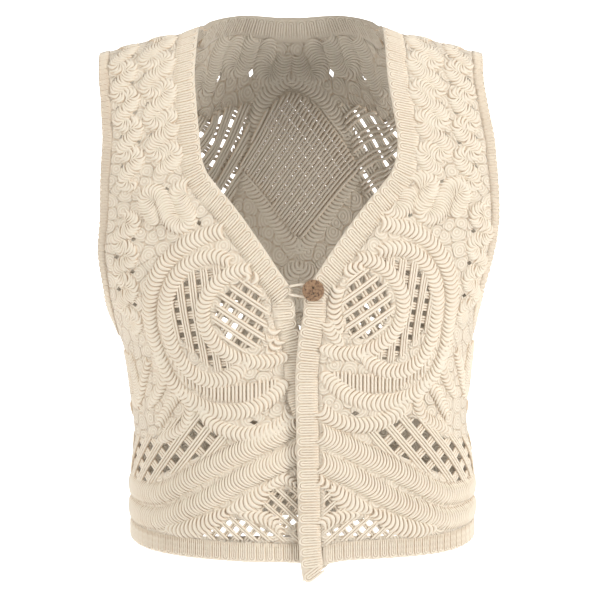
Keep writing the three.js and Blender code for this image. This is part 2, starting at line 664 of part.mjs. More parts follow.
// A band: stations of four points each, the outer and inner edge on both faces.
function band(stations, closed) {
  const faces = [];
  const count = stations.length;
  const corner = (station, k) => (station % count) * 4 + (k % 4);
  for (let i = 0; i < (closed ? count : count - 1); i += 1) {
    for (let k = 0; k < 4; k += 1) {
      const [a, b, c, d] = [corner(i, k), corner(i, k + 1), corner(i + 1, k + 1), corner(i + 1, k)];
      faces.push([a, b, c], [a, c, d]);
    }
  }
  if (!closed) {
    faces.push([0, 2, 1], [0, 3, 2]);
    const end = (count - 1) * 4;
    faces.push([end, end + 1, end + 2], [end, end + 2, end + 3]);
  }
  return solid(stations.flat(), faces);
}
function station(place, edge, inner) {
  const [top, bottom] = [BAND_RISE, BAND_RISE - BAND_WALL];
  const corners = [[edge, top], [inner, top], [inner, bottom], [edge, bottom]];
  return corners.map(([p, out]) => place(p.x, p.y, out));
}

// The under front dips behind the upper one where the two overlap.
const UNDERLAP_ACROSS = [6, 48];
const UNDERLAP_DOWN = [262, 299];
function underlap(girth, length) {
  const across = 1 - THREE.MathUtils.smoothstep(girth, ...UNDERLAP_ACROSS);
  const down = THREE.MathUtils.smoothstep(length, ...UNDERLAP_DOWN);
  return UNDERLAP * across * down;
}
const placeLeft = worn(FRONT);
const placeRight = worn(FRONT, { mirror: true, sink: underlap });
const placeBack = worn(BACK);

// A line on the chart, cut off where it comes down to a level; it runs upward from there.
function cutOff(line, level) {
  const over = (p) => p.y - level(p.x);
  const first = line.findIndex((p) => over(p) < 0);
  const [low, high] = [line[Math.max(first - 1, 0)], line[first]];
  const foot = low.clone().lerp(high, over(low) / (over(low) - over(high)));
  const rest = line.slice(first).filter((p) => p.distanceTo(foot) > ROOM.foot);
  return [foot, ...rest];
}

// The lines that bound a front's pieces.
function frontLines(centre, hemTable) {
  const edge = centreAndNeck(centre);
  const hem = column(hemTable, "girth", "length");
  const [inner, seam] = [0, SEAM].map((gap) => beside(FRONT, edge, FRONT_BAND, gap));
  return { edge, inner, seam, hem };
}

// Stations along a hem, between a foot at each end.
function hemStations(from, to) {
  const ends = [from, to].map((girth) => new THREE.Vector2(girth, 0));
  return straight(...ends, EDGE_STEP).slice(1, -1).map((p) => p.x);
}
function sideFoot(form, hem, width) {
  const length = hem(form.sideGirth(SIDE_FOOT)) - width;
  return new THREE.Vector2(form.sideGirth(length) - SIDE_SEAM, length);
}

// The armhole's edge of a panel or band, with its end square to the side seam.
function armholeLine(form, width, gap = 0) {
  const line = beside(form, armhole(form), width, gap);
  const end = UNDERARM + width + gap;
  line[line.length - 1] = new THREE.Vector2(form.sideGirth(end), end);
  line[0].y = 0;
  return line;
}

// A panel's shoulder, armhole and side, from the neck round to the hem.
function outerEdges(form, hem, neckEnd) {
  const arm = armholeLine(form, ARMHOLE_BAND, SEAM);
  arm[0].y = FOLD_SEAM;
  arm.at(-1).x -= SIDE_SEAM;
  const shoulder = straight(neckEnd, arm[0], EDGE_STEP).slice(1, -1);
  const foot = sideFoot(form, hem, HEM_BAND + SEAM);
  const side = straight(arm.at(-1), foot, EDGE_STEP).slice(1, -1)
    .map((p) => new THREE.Vector2(form.sideGirth(p.y) - SIDE_SEAM, p.y));
  return [neckEnd, ...shoulder, ...arm, ...side, foot];
}

function frontOutline({ seam, hem }) {
  const hemTop = (girth) => hem(girth) - HEM_BAND - SEAM;
  const rise = cutOff(seam, hemTop).filter((p) => p.y > ROOM.shoulder);
  const neckEnd = new THREE.Vector2(seam.at(-1).x, FOLD_SEAM);
  const outer = outerEdges(FRONT, hem, neckEnd);
  const along = hemStations(rise[0].x, outer.at(-1).x).map((x) => new THREE.Vector2(x, hemTop(x)));
  return [...rise, ...outer, ...along.reverse()];
}

function frontBand(place, { edge, inner, hem }) {
  const feet = [cutOff(edge, hem)[0], cutOff(inner, hem)[0]];
  const pairs = edge.map((p, i) => [p, inner[i]])
    .filter(([p]) => p.y > ROOM.shoulder)
    .filter((pair) => pair.every((p) => p.y - hem(p.x) < -ROOM.foot));
  const top = [edge, inner].map((line) => new THREE.Vector2(line.at(-1).x, FOLD_SEAM));
  return band([feet, ...pairs, top].map(([a, b]) => station(place, a, b)), false);
}

function hemBand(place, hem, [start, end]) {
  const between = hemStations(start[1].x, end[1].x)
    .map((x) => [new THREE.Vector2(x, hem(x)), new THREE.Vector2(x, hem(x) - HEM_BAND)]);
  return band([start, ...between, end].map(([a, b]) => station(place, a, b)), false);
}

// The armhole band runs down the front, under the arm and up the back, as one ring.
function armholeBand(mirror) {
  const walk = (form) => {
    const place = worn(form, { mirror });
    const [edge, inner] = [armholeLine(form, 0), armholeLine(form, ARMHOLE_BAND)];
    return edge.map((p, i) => station(place, p, inner[i]));
  };
  return band([...walk(FRONT), ...walk(BACK).reverse().slice(1, -1)], true);
}

// The back, both halves in one chart.
const mirrored = ({ route, outline, ...rest }) => {
  const flip = (points) => points.map(([girth, length]) => [-girth, length]);
  return { ...rest, ...(route && { route: flip(route) }), ...(outline && { outline: flip(outline) }) };
};
function neckLine(width, gap = 0) {
  return Array.from({ length: NECK_STEPS + 1 }, (_, i) => {
    const angle = (i / NECK_STEPS - 0.5) * Math.PI;
    const reach = width * (1 - NECK_NARROWING * Math.sin(2 * angle) ** 2) + gap;
    const across = (NECK_HALF + reach) * Math.sin(angle);
    return new THREE.Vector2(across, Math.max((BACK_NECK_DROP + reach) * Math.cos(angle), FOLD_SEAM));
  });
}
function backOutline(hem) {
  const neck = neckLine(FRONT_BAND, SEAM);
  const half = outerEdges(BACK, hem, neck.at(-1));
  const other = half.map((p) => new THREE.Vector2(-p.x, p.y)).reverse();
  const along = hemStations(half.at(-1).x, other[0].x)
    .map((x) => new THREE.Vector2(x, hem(x) - HEM_BAND - SEAM));
  return [...half, ...along, ...other.slice(0, -1), ...neck.slice(0, -1)];
}

// Materials, by the cloth's own colours.
const CREAM = { color: 0xf0e2c8, roughness: 0.9, metalness: 0 };
const cloth = () => new THREE.MeshStandardMaterial({ ...CREAM, side: THREE.FrontSide });
const coconut = () => new THREE.MeshStandardMaterial({ color: 0x9a7350, roughness: 0.6, metalness: 0 });
function piece(name, geometry, material) {
  const mesh = new THREE.Mesh(geometry, material);
  mesh.name = name;
  return mesh;
}

// The button, a coconut-shell disc with two holes, and the cord loop that holds it.
const LOOP_START = -3.6; // where the loop leaves the under front's band
const LOOP_REACH = 5; // how far round the button's stem the loop passes
const BUTTON_LIFT = BAND_RISE + SEAM + 2 * LOOP_RADIUS + SEAM;
function button() {
  const disc = new THREE.Shape().absarc(0, 0, BUTTON_RADIUS - BUTTON_BEVEL, 0, 2 * Math.PI);
  for (const side of [-1, 1]) {
    const hole = new THREE.Path();
    const radius = BUTTON_HOLE_RADIUS + BUTTON_BEVEL / 2;
    hole.absarc(0, (side * BUTTON_HOLE_SPACING) / 2, radius, 0, 2 * Math.PI, true);
    disc.holes.push(hole);
  }
  const geometry = new THREE.ExtrudeGeometry(disc, {
    depth: BUTTON_THICKNESS - 2 * BUTTON_BEVEL,
    bevelThickness: BUTTON_BEVEL,
    bevelSize: BUTTON_BEVEL / 2,
    bevelSegments: 2,
    curveSegments: 10,
  });
  geometry.translate(0, 0, BUTTON_BEVEL + BUTTON_LIFT);
  const { girth, length } = BUTTON_AT;
  const outward = FRONT.normal(girth, length);
  const turn = new THREE.Quaternion().setFromUnitVectors(new THREE.Vector3(0, 0, 1), outward);
  geometry.applyQuaternion(turn).translate(...placeLeft(girth, length, 0).toArray());
  return piece("button", geometry, coconut());
}
function buttonLoop() {
  const height = BAND_RISE + SEAM + LOOP_RADIUS;
  const { girth, length } = BUTTON_AT;
  const at = table(["girth", "drop"], [
    [LOOP_START, -3.4], [3, -4.6], [girth, -LOOP_REACH], [girth + LOOP_REACH, 0], [girth, LOOP_REACH],
    [3, 4.6], [LOOP_START, 3.4],
  ]);
  const points = at.map((row) => placeLeft(row.girth, length + row.drop, height));
  const path = new THREE.CatmullRomCurve3(points);
  const section = new THREE.Shape().absarc(0, 0, LOOP_RADIUS, 0, 2 * Math.PI);
  const geometry = new THREE.ExtrudeGeometry(section, { steps: 22, curveSegments: 4, extrudePath: path });
  return piece("button_loop", geometry, cloth());
}

const group = new THREE.Group();
const fronts = [
  { name: "left", place: placeLeft, centre: LEFT_CENTRE_EDGE, hemTable: LEFT_HEM, shift: LEFT_SHIFT },
  { name: "right", place: placeRight, centre: RIGHT_CENTRE_EDGE, hemTable: RIGHT_HEM, shift: RIGHT_SHIFT },
];
const moved = (line, shift) => line.map(([girth, length]) => [girth + shift.girth, length + shift.length]);
const placed = (plan, shift) => {
  const [[girth, length]] = moved([[plan.girth, plan.length]], shift);
  return { ...plan, girth, length };
};
const routed = (plans) => plans.map((plan) => ({ ...plan, route: serpentine(plan) }));
for (const { name, place, centre, hemTable, shift } of fronts) {
  const lines = frontLines(centre, hemTable);
  const { hem, seam } = lines;
  const serpentines = [...SHOULDER_SERPENTINES, ...SIDE_SERPENTINES.map((plan) => placed(plan, shift))];
  const scrolls = SCROLLS.map((plan) => ({ ...plan, route: scroll(placed(plan, shift)) }));
  const curls = CURLS.map((tape) => ({ ...tape, route: moved(tape.route, shift) }));
  const windows = SCROLL_WINDOWS.map((window) => ({ ...window, outline: moved(window.outline, shift) }));
  const holes = HOLES.map((hole) => placed(hole, shift));
  const lace = new Lace(
    frontOutline(lines),
    [...scrolls, ...curls, ...HEM_TAPES, ...routed(serpentines)],
    [...windows, ...HEM_WINDOWS],
    [...holes, ...serpentines.flatMap(eyelets)],
  );
  const feet = [0, HEM_BAND].map((width) => [
    cutOff(seam, (girth) => hem(girth) - width)[0],
    sideFoot(FRONT, hem, width),
  ]);
  const hemEnds = [0, 1].map((end) => [feet[0][end], feet[1][end]]);
  group.add(piece(`${name}_front`, lace.wall(place), cloth()));
  group.add(piece(`${name}_front_band`, frontBand(place, lines), cloth()));
  group.add(piece(`${name}_hem_band`, hemBand(place, hem, hemEnds), cloth()));
}
const backHem = column(BACK_HEM, "girth", "length");
const backTapes = [...BACK_TAPES, ...routed(BACK_SERPENTINES)];
const neckHoles = eyelets(BACK_SERPENTINES[0]);
const backLace = new Lace(
  backOutline(backHem),
  [...backTapes, ...backTapes.map(mirrored)],
  [...BACK_WINDOWS, ...BACK_WINDOWS.map(mirrored)],
  [...neckHoles, ...neckHoles.map((hole) => ({ ...hole, girth: -hole.girth, turn: -hole.turn }))],
);
const backEnds = [-1, 1].map((side) => [0, HEM_BAND].map((width) => {
  const foot = sideFoot(BACK, backHem, width);
  return new THREE.Vector2(side * foot.x, foot.y);
}));
const [neckEdge, neckInner] = [neckLine(0), neckLine(FRONT_BAND)];
const neckBand = band(neckEdge.map((p, i) => station(placeBack, p, neckInner[i])), false);
group.add(piece("back", backLace.wall(placeBack), cloth()));
group.add(piece("back_hem_band", hemBand(placeBack, backHem, backEnds), cloth()));
group.add(piece("back_neck_band", neckBand, cloth()));
group.add(piece("left_armhole_band", armholeBand(false), cloth()));
group.add(piece("right_armhole_band", armholeBand(true), cloth()));
group.add(button(), buttonLoop());

export default group;
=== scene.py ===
"""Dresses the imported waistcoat: tape lace, lattice bars, ribbed bands, coconut button and a plain stage.

Each panel is charted flat, as a lace maker charts it, and laid on the worn form. On the chart, girth runs
round the body from the centre front (or centre back) and length runs down from the shoulder seam, both in
millimetres. Finished meshes are in metres.
"""

import math

import bpy
import numpy as np
from mathutils import Matrix, Vector
from mathutils.geometry import delaunay_2d_cdt


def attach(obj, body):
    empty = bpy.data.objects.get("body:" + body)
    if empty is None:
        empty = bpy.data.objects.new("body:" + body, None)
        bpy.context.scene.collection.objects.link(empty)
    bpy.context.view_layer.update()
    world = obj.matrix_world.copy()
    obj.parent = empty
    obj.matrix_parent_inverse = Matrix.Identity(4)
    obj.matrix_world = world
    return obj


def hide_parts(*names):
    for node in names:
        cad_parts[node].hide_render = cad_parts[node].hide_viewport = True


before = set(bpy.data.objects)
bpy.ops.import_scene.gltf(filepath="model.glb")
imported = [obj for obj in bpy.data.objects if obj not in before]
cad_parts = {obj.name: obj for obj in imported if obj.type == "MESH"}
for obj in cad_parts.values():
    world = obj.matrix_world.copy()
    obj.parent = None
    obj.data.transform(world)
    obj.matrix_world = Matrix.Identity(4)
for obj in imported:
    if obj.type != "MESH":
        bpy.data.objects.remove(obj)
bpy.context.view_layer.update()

bl_info = {
    "name": "Tape Lace Waistcoat",
    "version": (1, 0, 0),
    "blender": (4, 5, 0),
    "location": "3D View > Sidebar > Waistcoat",
    "description": "Works the lace, bands and button of a worn waistcoat around its packed frame",
    "category": "Object",
}

MM = 0.001

# Sizes of the pieces, in millimetres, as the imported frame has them.
FRONT_BAND = 20
HEM_BAND = 17
ARMHOLE_BAND = 10
FOLD_SEAM = 0.45  # length at which the cloth begins, below the shoulder seam
SIDE_SEAM = 0.2  # what each panel leaves free at the side
UNDERLAP = 6.6  # how far the right front dips behind the left one
UNDERLAP_ACROSS = (6, 48)  # the girths between which the dip fades
UNDERLAP_DOWN = (262, 299)  # the lengths between which it grows
NECK_HALF = 82
BACK_NECK_DROP = 72
NECK_NARROWING = 0.3  # how much narrower the back neck band is where it slants most
UNDERARM = 300
SIDE_TOP = 305
SIDE_FOOT = 480
SIDES = 175  # the distance across at which the sides' lean holds in full

# The worn form, one row per section round the body.
SECTION_KEYS = ("at", "front_depth", "front_height", "front_slope",
                "back_depth", "back_height", "back_slope", "half_width", "power")
SECTION_ROWS = [
    ("shoulder seam", 0, 55, 1, 0, 55, 1, 238, 2.5),
    ("shoulder roll", 15, 53.4, 1, 15, 53.4, 1, 236, 2.5),
    ("shoulder", 33, 41, 0.98, 34, 43, 0.99, 234, 2.5),
    ("collarbone", 51, 12, 0.92, 50, 24, 0.97, 230, 2.5),
    ("upper chest", 67, -32, 0.76, 64, -2, 0.9, 224, 2.45),
    ("yoke", 81, -88, 0.5, 78, -60, 0.66, 214, 2.4),
    ("chest", 94, -146, 0.27, 87, -126, 0.36, 203, 2.35),
    ("bust top", 104, -196, 0.1, 90, -184, 0.13, 197, 2.3),
    ("bust", 109, -238, 0, 89, -234, 0, 184, 2.25),
    ("underarm", 108, -279, 0, 86, -279, 0, 163, 2.2),
    ("under bust", 101, -322, 0, 82, -322, 0, 156, 2.2),
    ("waist", 97, -362, 0, 81, -362, 0, 153, 2.2),
    ("high hip", 99, -408, 0, 86, -408, 0, 157, 2.2),
    ("hem", 104, -470, 0, 93, -470, 0, 158, 2.2),
    ("below hem", 109, -532, 0, 100, -532, 0, 159, 2.2),
]
SECTIONS = [dict(zip(SECTION_KEYS, row)) for row in SECTION_ROWS]

# How far the shoulder has fallen at each distance across: (across, fall).
SHOULDER_FALL = [
    (0, 0), (20, 2), (40, 8), (57, 20), (75, 42), (NECK_HALF, 55), (130, 69), (180, 83), (240, 100),
]

# How the worn cloth leans: (distance down, shift of the centre line, shift of the sides).
LEAN = [
    (-60, 0, 0), (40, 0, 0), (75, 3.6, 0), (110, 7.3, 0), (168, 7.3, 0.8), (210, 7.3, -3),
    (258, 7.3, -5.5), (306, 7.3, 0), (348, 7.3, 0.5), (390, 7.3, 4), (540, 7.3, 4),
]

# Soft troughs in the cloth: name, girth, length, turn, half length, half width and depth.
FRONT_FOLDS = [
    ("under the bust", 118, 372, 0.5, 46, 15, 2.6),
    ("at the waist", 60, 398, 0.35, 42, 13, 1.6),
    ("into the armhole", 128, 214, -0.8, 44, 14, 2.2),
]
BACK_FOLDS = [
    ("small of the back", 96, 372, 0.3, 52, 16, 3),
    ("under the blade", 120, 250, -0.7, 48, 15, 2.4),
]
FOLD_FROM_SIDE = 34

# Edges of the pieces: (length, girth), or (length, across) at the armhole.
LEFT_CENTRE_EDGE = [
    (262, 4), (282, 3.8), (300, 0.2), (330, -2.8), (358, -3), (403, -2.2), (450, -1), (491, 0),
    (519, 3.6),
]
RIGHT_CENTRE_EDGE = [
    (262, 4), (285, 2.6), (300, -2), (315, -5.6), (335, -6.6), (355, -9.4), (375, -16), (400, -21),
    (450, -24), (504, -26),
]
NECK_EDGE = [
    (0, NECK_HALF), (50, 85), (100, 87), (130, 87.5), (150, 85), (170, 76.5), (188, 64), (225, 34),
    (262, 4),
]
ARMHOLE_EDGE = [
    (0, 174.5), (60, 173.5), (98, 175), (134, 177), (182, 179), (219, 178.5), (243, 175.5), (267, 171),
]
ARMHOLE_FOOT = [(284, 0.16), (294, 0.44), (299, 0.72)]  # (length, share of the way round to the side)

# Hem lines: (girth, length).
LEFT_HEM = [
    (-30, 520), (3, 519), (12, 511.5), (26, 504), (45, 501), (130, 500), (170, 497), (215, 490),
]
RIGHT_HEM = [(-30, 504), (130, 500), (170, 497), (215, 490)]
BACK_HEM = [(-215, 490), (0, 492), (215, 490)]

# Directions on the chart, in radians.
DOWN = math.pi / 2
OUTWARD = 0.0

# Serpentines: name, width, girth, length, passes, pitch, reach, travel and tilt.
SHOULDER_SERPENTINES = [
    ("neck serpentine", 13.5, 120, 16, 10, 15, 10, DOWN, 0.42),
    ("armhole serpentine", 13, 151, 14, 11, 15, 3, DOWN, 0.42),
]
SIDE_SERPENTINES = [
    ("bust serpentine", 14.5, 82, 176, 5, 15.5, 22, OUTWARD + 0.1, 0.3),
    ("side serpentine", 13, 168, 186, 8, 15, 3, DOWN, 0.1),
    ("waist serpentine", 14, 181, 334, 2, 15, 38, OUTWARD, 0.3),
]
BACK_SERPENTINES = [
    ("neck serpentine", 15, 9, 107, 6, 17, 13, OUTWARD - 0.42, 0),
    ("armhole serpentine", 13, 150, 14, 19, 15, 3, DOWN, 0.42),
    ("blade serpentine", 13.5, 120, 16, 6, 15, 6, DOWN, 0.42),
]

# Scrolls: name, width, middle, half width, half height, from and to in degrees, opening.
SCROLLS = [
    ("outer scroll", 16, 82, 281, 63, 75, -122, 142, 1.2),
    ("middle scroll", 15, 88, 279, 41, 54, -115, 135, 1.05),
    ("inner scroll", 14, 52, 274, 42, 38, -90, 125, 1.25),
    ("window edge", 13, 56, 276, 25, 34, -90, -215, 1),
    ("under scroll", 15, 56, 350, 44, 32, 165, 20, 1),
]

# Tapes: name, width and the route of the middle.
CURLS = [
    ("window foot", 13, ((24, 282), (28, 296), (36, 307))),
    ("upper curl", 12, ((146, 312), (136, 325), (140, 341), (154, 359))),
    ("side curl", 12, ((155, 320), (163, 336), (168, 352))),
    ("lower curl", 12, ((145, 378), (130, 356), (118, 347), (110, 360), (118, 378), (144, 391))),
]
HEM_TAPES = [
    ("upper sweep", 21, ((-8, 377), (14, 387), (46, 403), (84, 422), (124, 443), (150, 448), (208, 444))),
    ("lower sweep", 21, ((-8, 403), (14, 413), (46, 427), (84, 449), (124, 466), (150, 470), (208, 464))),
    ("corner leaf", 12, ((2, 434), (14, 429), (28, 437))),
    ("long leaf", 18, ((29, 437), (42, 449), (61, 457))),
    ("hem leaf", 18, ((66, 460), (86, 471), (108, 477), (123, 477))),
    ("small leaf", 13, ((16, 477), (22, 468), (34, 463), (50, 461))),
]
LEFT_SHIFT = (0, 0)
RIGHT_SHIFT = (-10, 8)

# Open lattice: name, pitch, gap, angle of the bars and outline.
SCROLL_WINDOWS = [
    ("bust window", 10.6, 5, -0.6,
     ((58, 244), (76, 256), (84, 276), (76, 294), (58, 306), (43, 301), (39, 276), (44, 252))),
    ("scroll window", 11.4, 4.4, 1.7,
     ((74, 234), (104, 236), (122, 260), (119, 296), (84, 325), (62, 322), (84, 308), (98, 284),
      (94, 254))),
]
HEM_WINDOWS = [
    ("waist window", 15, 7, 0.87,
     ((62, 390), (90, 374), (110, 378), (140, 398), (200, 402), (200, 436), (156, 439), (119, 424),
      (76, 404))),
    ("upper hem window", 8.6, 4.2, -0.72,
     ((-4, 441), (28, 439), (41, 455), (34, 461), (15, 474), (-4, 466))),
    ("lower hem window", 8.6, 4.2, -0.72,
     ((-6, 478), (18, 480), (34, 471), (58, 463), (90, 481), (118, 486), (132, 483), (120, 490),
      (-6, 491))),
]
RIB_FILL = (
    "rib fill", 6.8, 0.6, DOWN,
    ((30, 334), (58, 338), (88, 341), (110, 332), (124, 316), (112, 338), (82, 352), (52, 351), (36, 344)),
)
BACK_DIAMOND = (
    "diamond", 9, 0.4, 0.785,
    ((0, 128), (22, 138), (42, 158), (54, 172), (30, 196), (8, 222), (0, 226)),
)

# Cords side by side in each bar of a window.
CORDS = {"bust window": 2, "scroll window": 3, "rib fill": 2, "upper hem window": 2, "lower hem window": 2}
USUAL_CORDS = 3

# Single holes: girth, length, long, wide and turn; and the long and wide of those beside hairpins.
HOLES = [
    (50, 371, 8, 4.6, 0.05),
    (39, 243, 5, 4.4, -0.8),
]
EYELET = (6, 4.4)

# The tapes of one half of the back; the other half is its mirror image.
BACK_TAPES = [
    ("diamond top", 17, ((0, 117), (24, 127), (44, 148), (60, 164), (88, 168))),
    ("diamond foot", 18, ((58, 174), (34, 200), (12, 226), (0, 238))),
    ("lower foot", 17, ((0, 251), (16, 262), (36, 270))),
    ("outer foot", 18, ((96, 196), (76, 226), (48, 250), (20, 280), (0, 290))),
    ("back scroll", 18,
     ((16, 362), (44, 366), (76, 352), (96, 322), (96, 288), (78, 266), (54, 276), (42, 300), (48, 324),
      (66, 330))),
    ("side curl", 18,
     ((182, 340), (160, 352), (134, 344), (122, 320), (128, 294), (150, 284), (166, 298), (158, 316),
      (146, 318))),
    ("waist arch", 18, ((0, 384), (30, 386), (66, 380), (100, 366), (128, 374), (160, 384), (192, 374))),
    ("upper sweep", 21, ((0, 404), (34, 408), (72, 424), (108, 440), (140, 446), (170, 449), (208, 443))),
    ("lower sweep", 21, ((0, 427), (34, 431), (72, 446), (108, 461), (140, 467), (170, 470), (208, 464))),
]
BACK_WINDOWS = [
    ("shoulder field", 14, 4.3, 0.785,
     ((44, 132), (76, 122), (100, 104), (136, 124), (136, 250), (96, 250), (60, 182))),
    ("scroll eye", 10.8, 5.4, 0.5,
     ((54, 284), (80, 276), (92, 300), (84, 326), (66, 322), (52, 306))),
    ("centre field", 10.8, 5.4, 0.785,
     ((0, 304), (16, 294), (30, 312), (32, 340), (16, 352), (0, 352))),
    ("hem field", 9.6, 4.5, 0.785,
     ((4, 442), (36, 446), (74, 460), (110, 476), (40, 484), (4, 484))),
]


# From the tables to charted lines
HAIRPIN_BULGE = 0.42  # how far a hairpin turn stands out past its passes, as a share of their pitch
SCROLL_STEP = 20  # degrees from one point of a scroll to the next


def serpentine_frame(girth, length, travel, tilt):
    """A serpentine's own axes, as a map from ahead and aside to the chart."""
    turn = travel + DOWN + tilt
    return lambda ahead, aside: (girth + math.cos(travel) * ahead + math.cos(turn) * aside,
                                 length + math.sin(travel) * ahead + math.sin(turn) * aside)


def serpentine(plan):
    """A route of side-by-side passes, joined by round hairpin turns."""
    name, width, girth, length, passes, pitch, reach, travel, tilt = plan
    at = serpentine_frame(girth, length, travel, tilt)
    route = []
    for number in range(passes):
        side = -1 if number % 2 else 1
        route += [at(number * pitch, -side * reach / 2), at(number * pitch, side * reach / 2)]
        if number < passes - 1:
            route.append(at((number + 0.5) * pitch, side * (reach / 2 + HAIRPIN_BULGE * pitch)))
    return (name, width, route)


def eyelets(plan):
    """The holes between a serpentine's hairpins and whatever lies beside them."""
    _, _, girth, length, passes, pitch, reach, travel, tilt = plan
    at = serpentine_frame(girth, length, travel, tilt)
    holes = []
    for number in range(1, passes - 2):
        side = 1 if number % 2 else -1
        spot = at((number + 0.5) * pitch, side * (reach / 2 + HAIRPIN_BULGE * pitch + 0.5))
        holes.append((*spot, *EYELET, travel + DOWN + tilt))
    return holes


def scroll(plan):
    """An arc round a middle that opens towards its end."""
    name, width, girth, length, wide, tall, first, last, opening = plan
    steps = math.ceil(abs(last - first) / SCROLL_STEP)
    route = []
    for i in range(steps + 1):
        angle = math.radians(first + (last - first) * i / steps)
        size = 1 + (opening - 1) * (i / steps) ** 4
        route.append((girth + size * wide * math.cos(angle), length + size * tall * math.sin(angle)))
    return (name, width, route)


def moved(line, shift):
    return [(girth + shift[0], length + shift[1]) for girth, length in line]


def placed(plan, shift, at=2):
    """A plan moved by a shift; its girth and length stand at a place in the row."""
    return (*plan[:at], plan[at] + shift[0], plan[at + 1] + shift[1], *plan[at + 2:])


def front_charts(shift):
    """A front's tapes, windows and single holes."""
    plans = SHOULDER_SERPENTINES + [placed(plan, shift) for plan in SIDE_SERPENTINES]
    tapes = [scroll(placed(plan, shift)) for plan in SCROLLS]
    tapes += [(name, width, moved(route, shift)) for name, width, route in CURLS]
    tapes += HEM_TAPES + [serpentine(plan) for plan in plans]
    windows = [(*window[:4], moved(window[4], shift)) for window in SCROLL_WINDOWS + [RIB_FILL]]
    holes = [placed(hole, shift, 0) for hole in HOLES] + [hole for plan in plans for hole in eyelets(plan)]
    return tapes, windows + HEM_WINDOWS, holes


def back_charts():
    """The back's tapes, windows and single holes."""
    tapes = BACK_TAPES + [serpentine(plan) for plan in BACK_SERPENTINES]
    tapes += [(name, width, [(-g, l) for g, l in route]) for name, width, route in tapes]
    windows = BACK_WINDOWS + [(*window[:4], [(-g, l) for g, l in window[4]]) for window in BACK_WINDOWS]
    half = BACK_DIAMOND[4]
    windows.append((*BACK_DIAMOND[:4], [*half, *((-g, l) for g, l in half[-2:0:-1])]))
    holes = eyelets(BACK_SERPENTINES[0])
    return tapes, windows, holes + [(-g, l, long, wide, -turn) for g, l, long, wide, turn in holes]


# Lines of points
def normed(vectors):
    """Vectors at a length of one."""
    return vectors / np.linalg.norm(vectors, axis=1)[:, None]


def heading(line):
    """The direction of a line at each of its points."""
    return normed(np.gradient(line, axis=0))


def run_of(line):
    """The distance along a line at each of its points."""
    return np.concatenate([[0], np.cumsum(np.linalg.norm(np.diff(line, axis=0), axis=1))])


def as_points(flat):
    return np.atleast_2d(np.asarray(flat, float))


# The worn form
def smooth(xs, ys):
    """Monotone cubic through a table's rows; works on single numbers and on arrays."""
    xs, ys = np.asarray(xs, float), np.asarray(ys, float)
    step, rise = np.diff(xs), np.diff(ys) / np.diff(xs)
    tangent = np.concatenate([[rise[0]], np.zeros(len(xs) - 2), [rise[-1]]])
    for i in range(1, len(xs) - 1):
        if rise[i - 1] * rise[i] > 0:
            a, b = 2 * step[i] + step[i - 1], step[i] + 2 * step[i - 1]
            tangent[i] = (a + b) / (a / rise[i - 1] + b / rise[i])

    def value(x):
        x = np.asarray(x, float)
        i = np.clip(np.searchsorted(xs, x, side="left") - 1, 0, len(xs) - 2)
        t = (x - xs[i]) / step[i]
        t2, t3 = t * t, t * t * t
        return ((2 * t3 - 3 * t2 + 1) * ys[i] + (t3 - 2 * t2 + t) * step[i] * tangent[i]
                + (3 * t2 - 2 * t3) * ys[i + 1] + (t3 - t2) * step[i] * tangent[i + 1])

    return value


def column(table, key=0, value=1):
    return smooth([row[key] for row in table], [row[value] for row in table])


shoulder_fall = column(SHOULDER_FALL)
centre_lean = column(LEAN, 0, 1)
side_lean = column(LEAN, 0, 2)


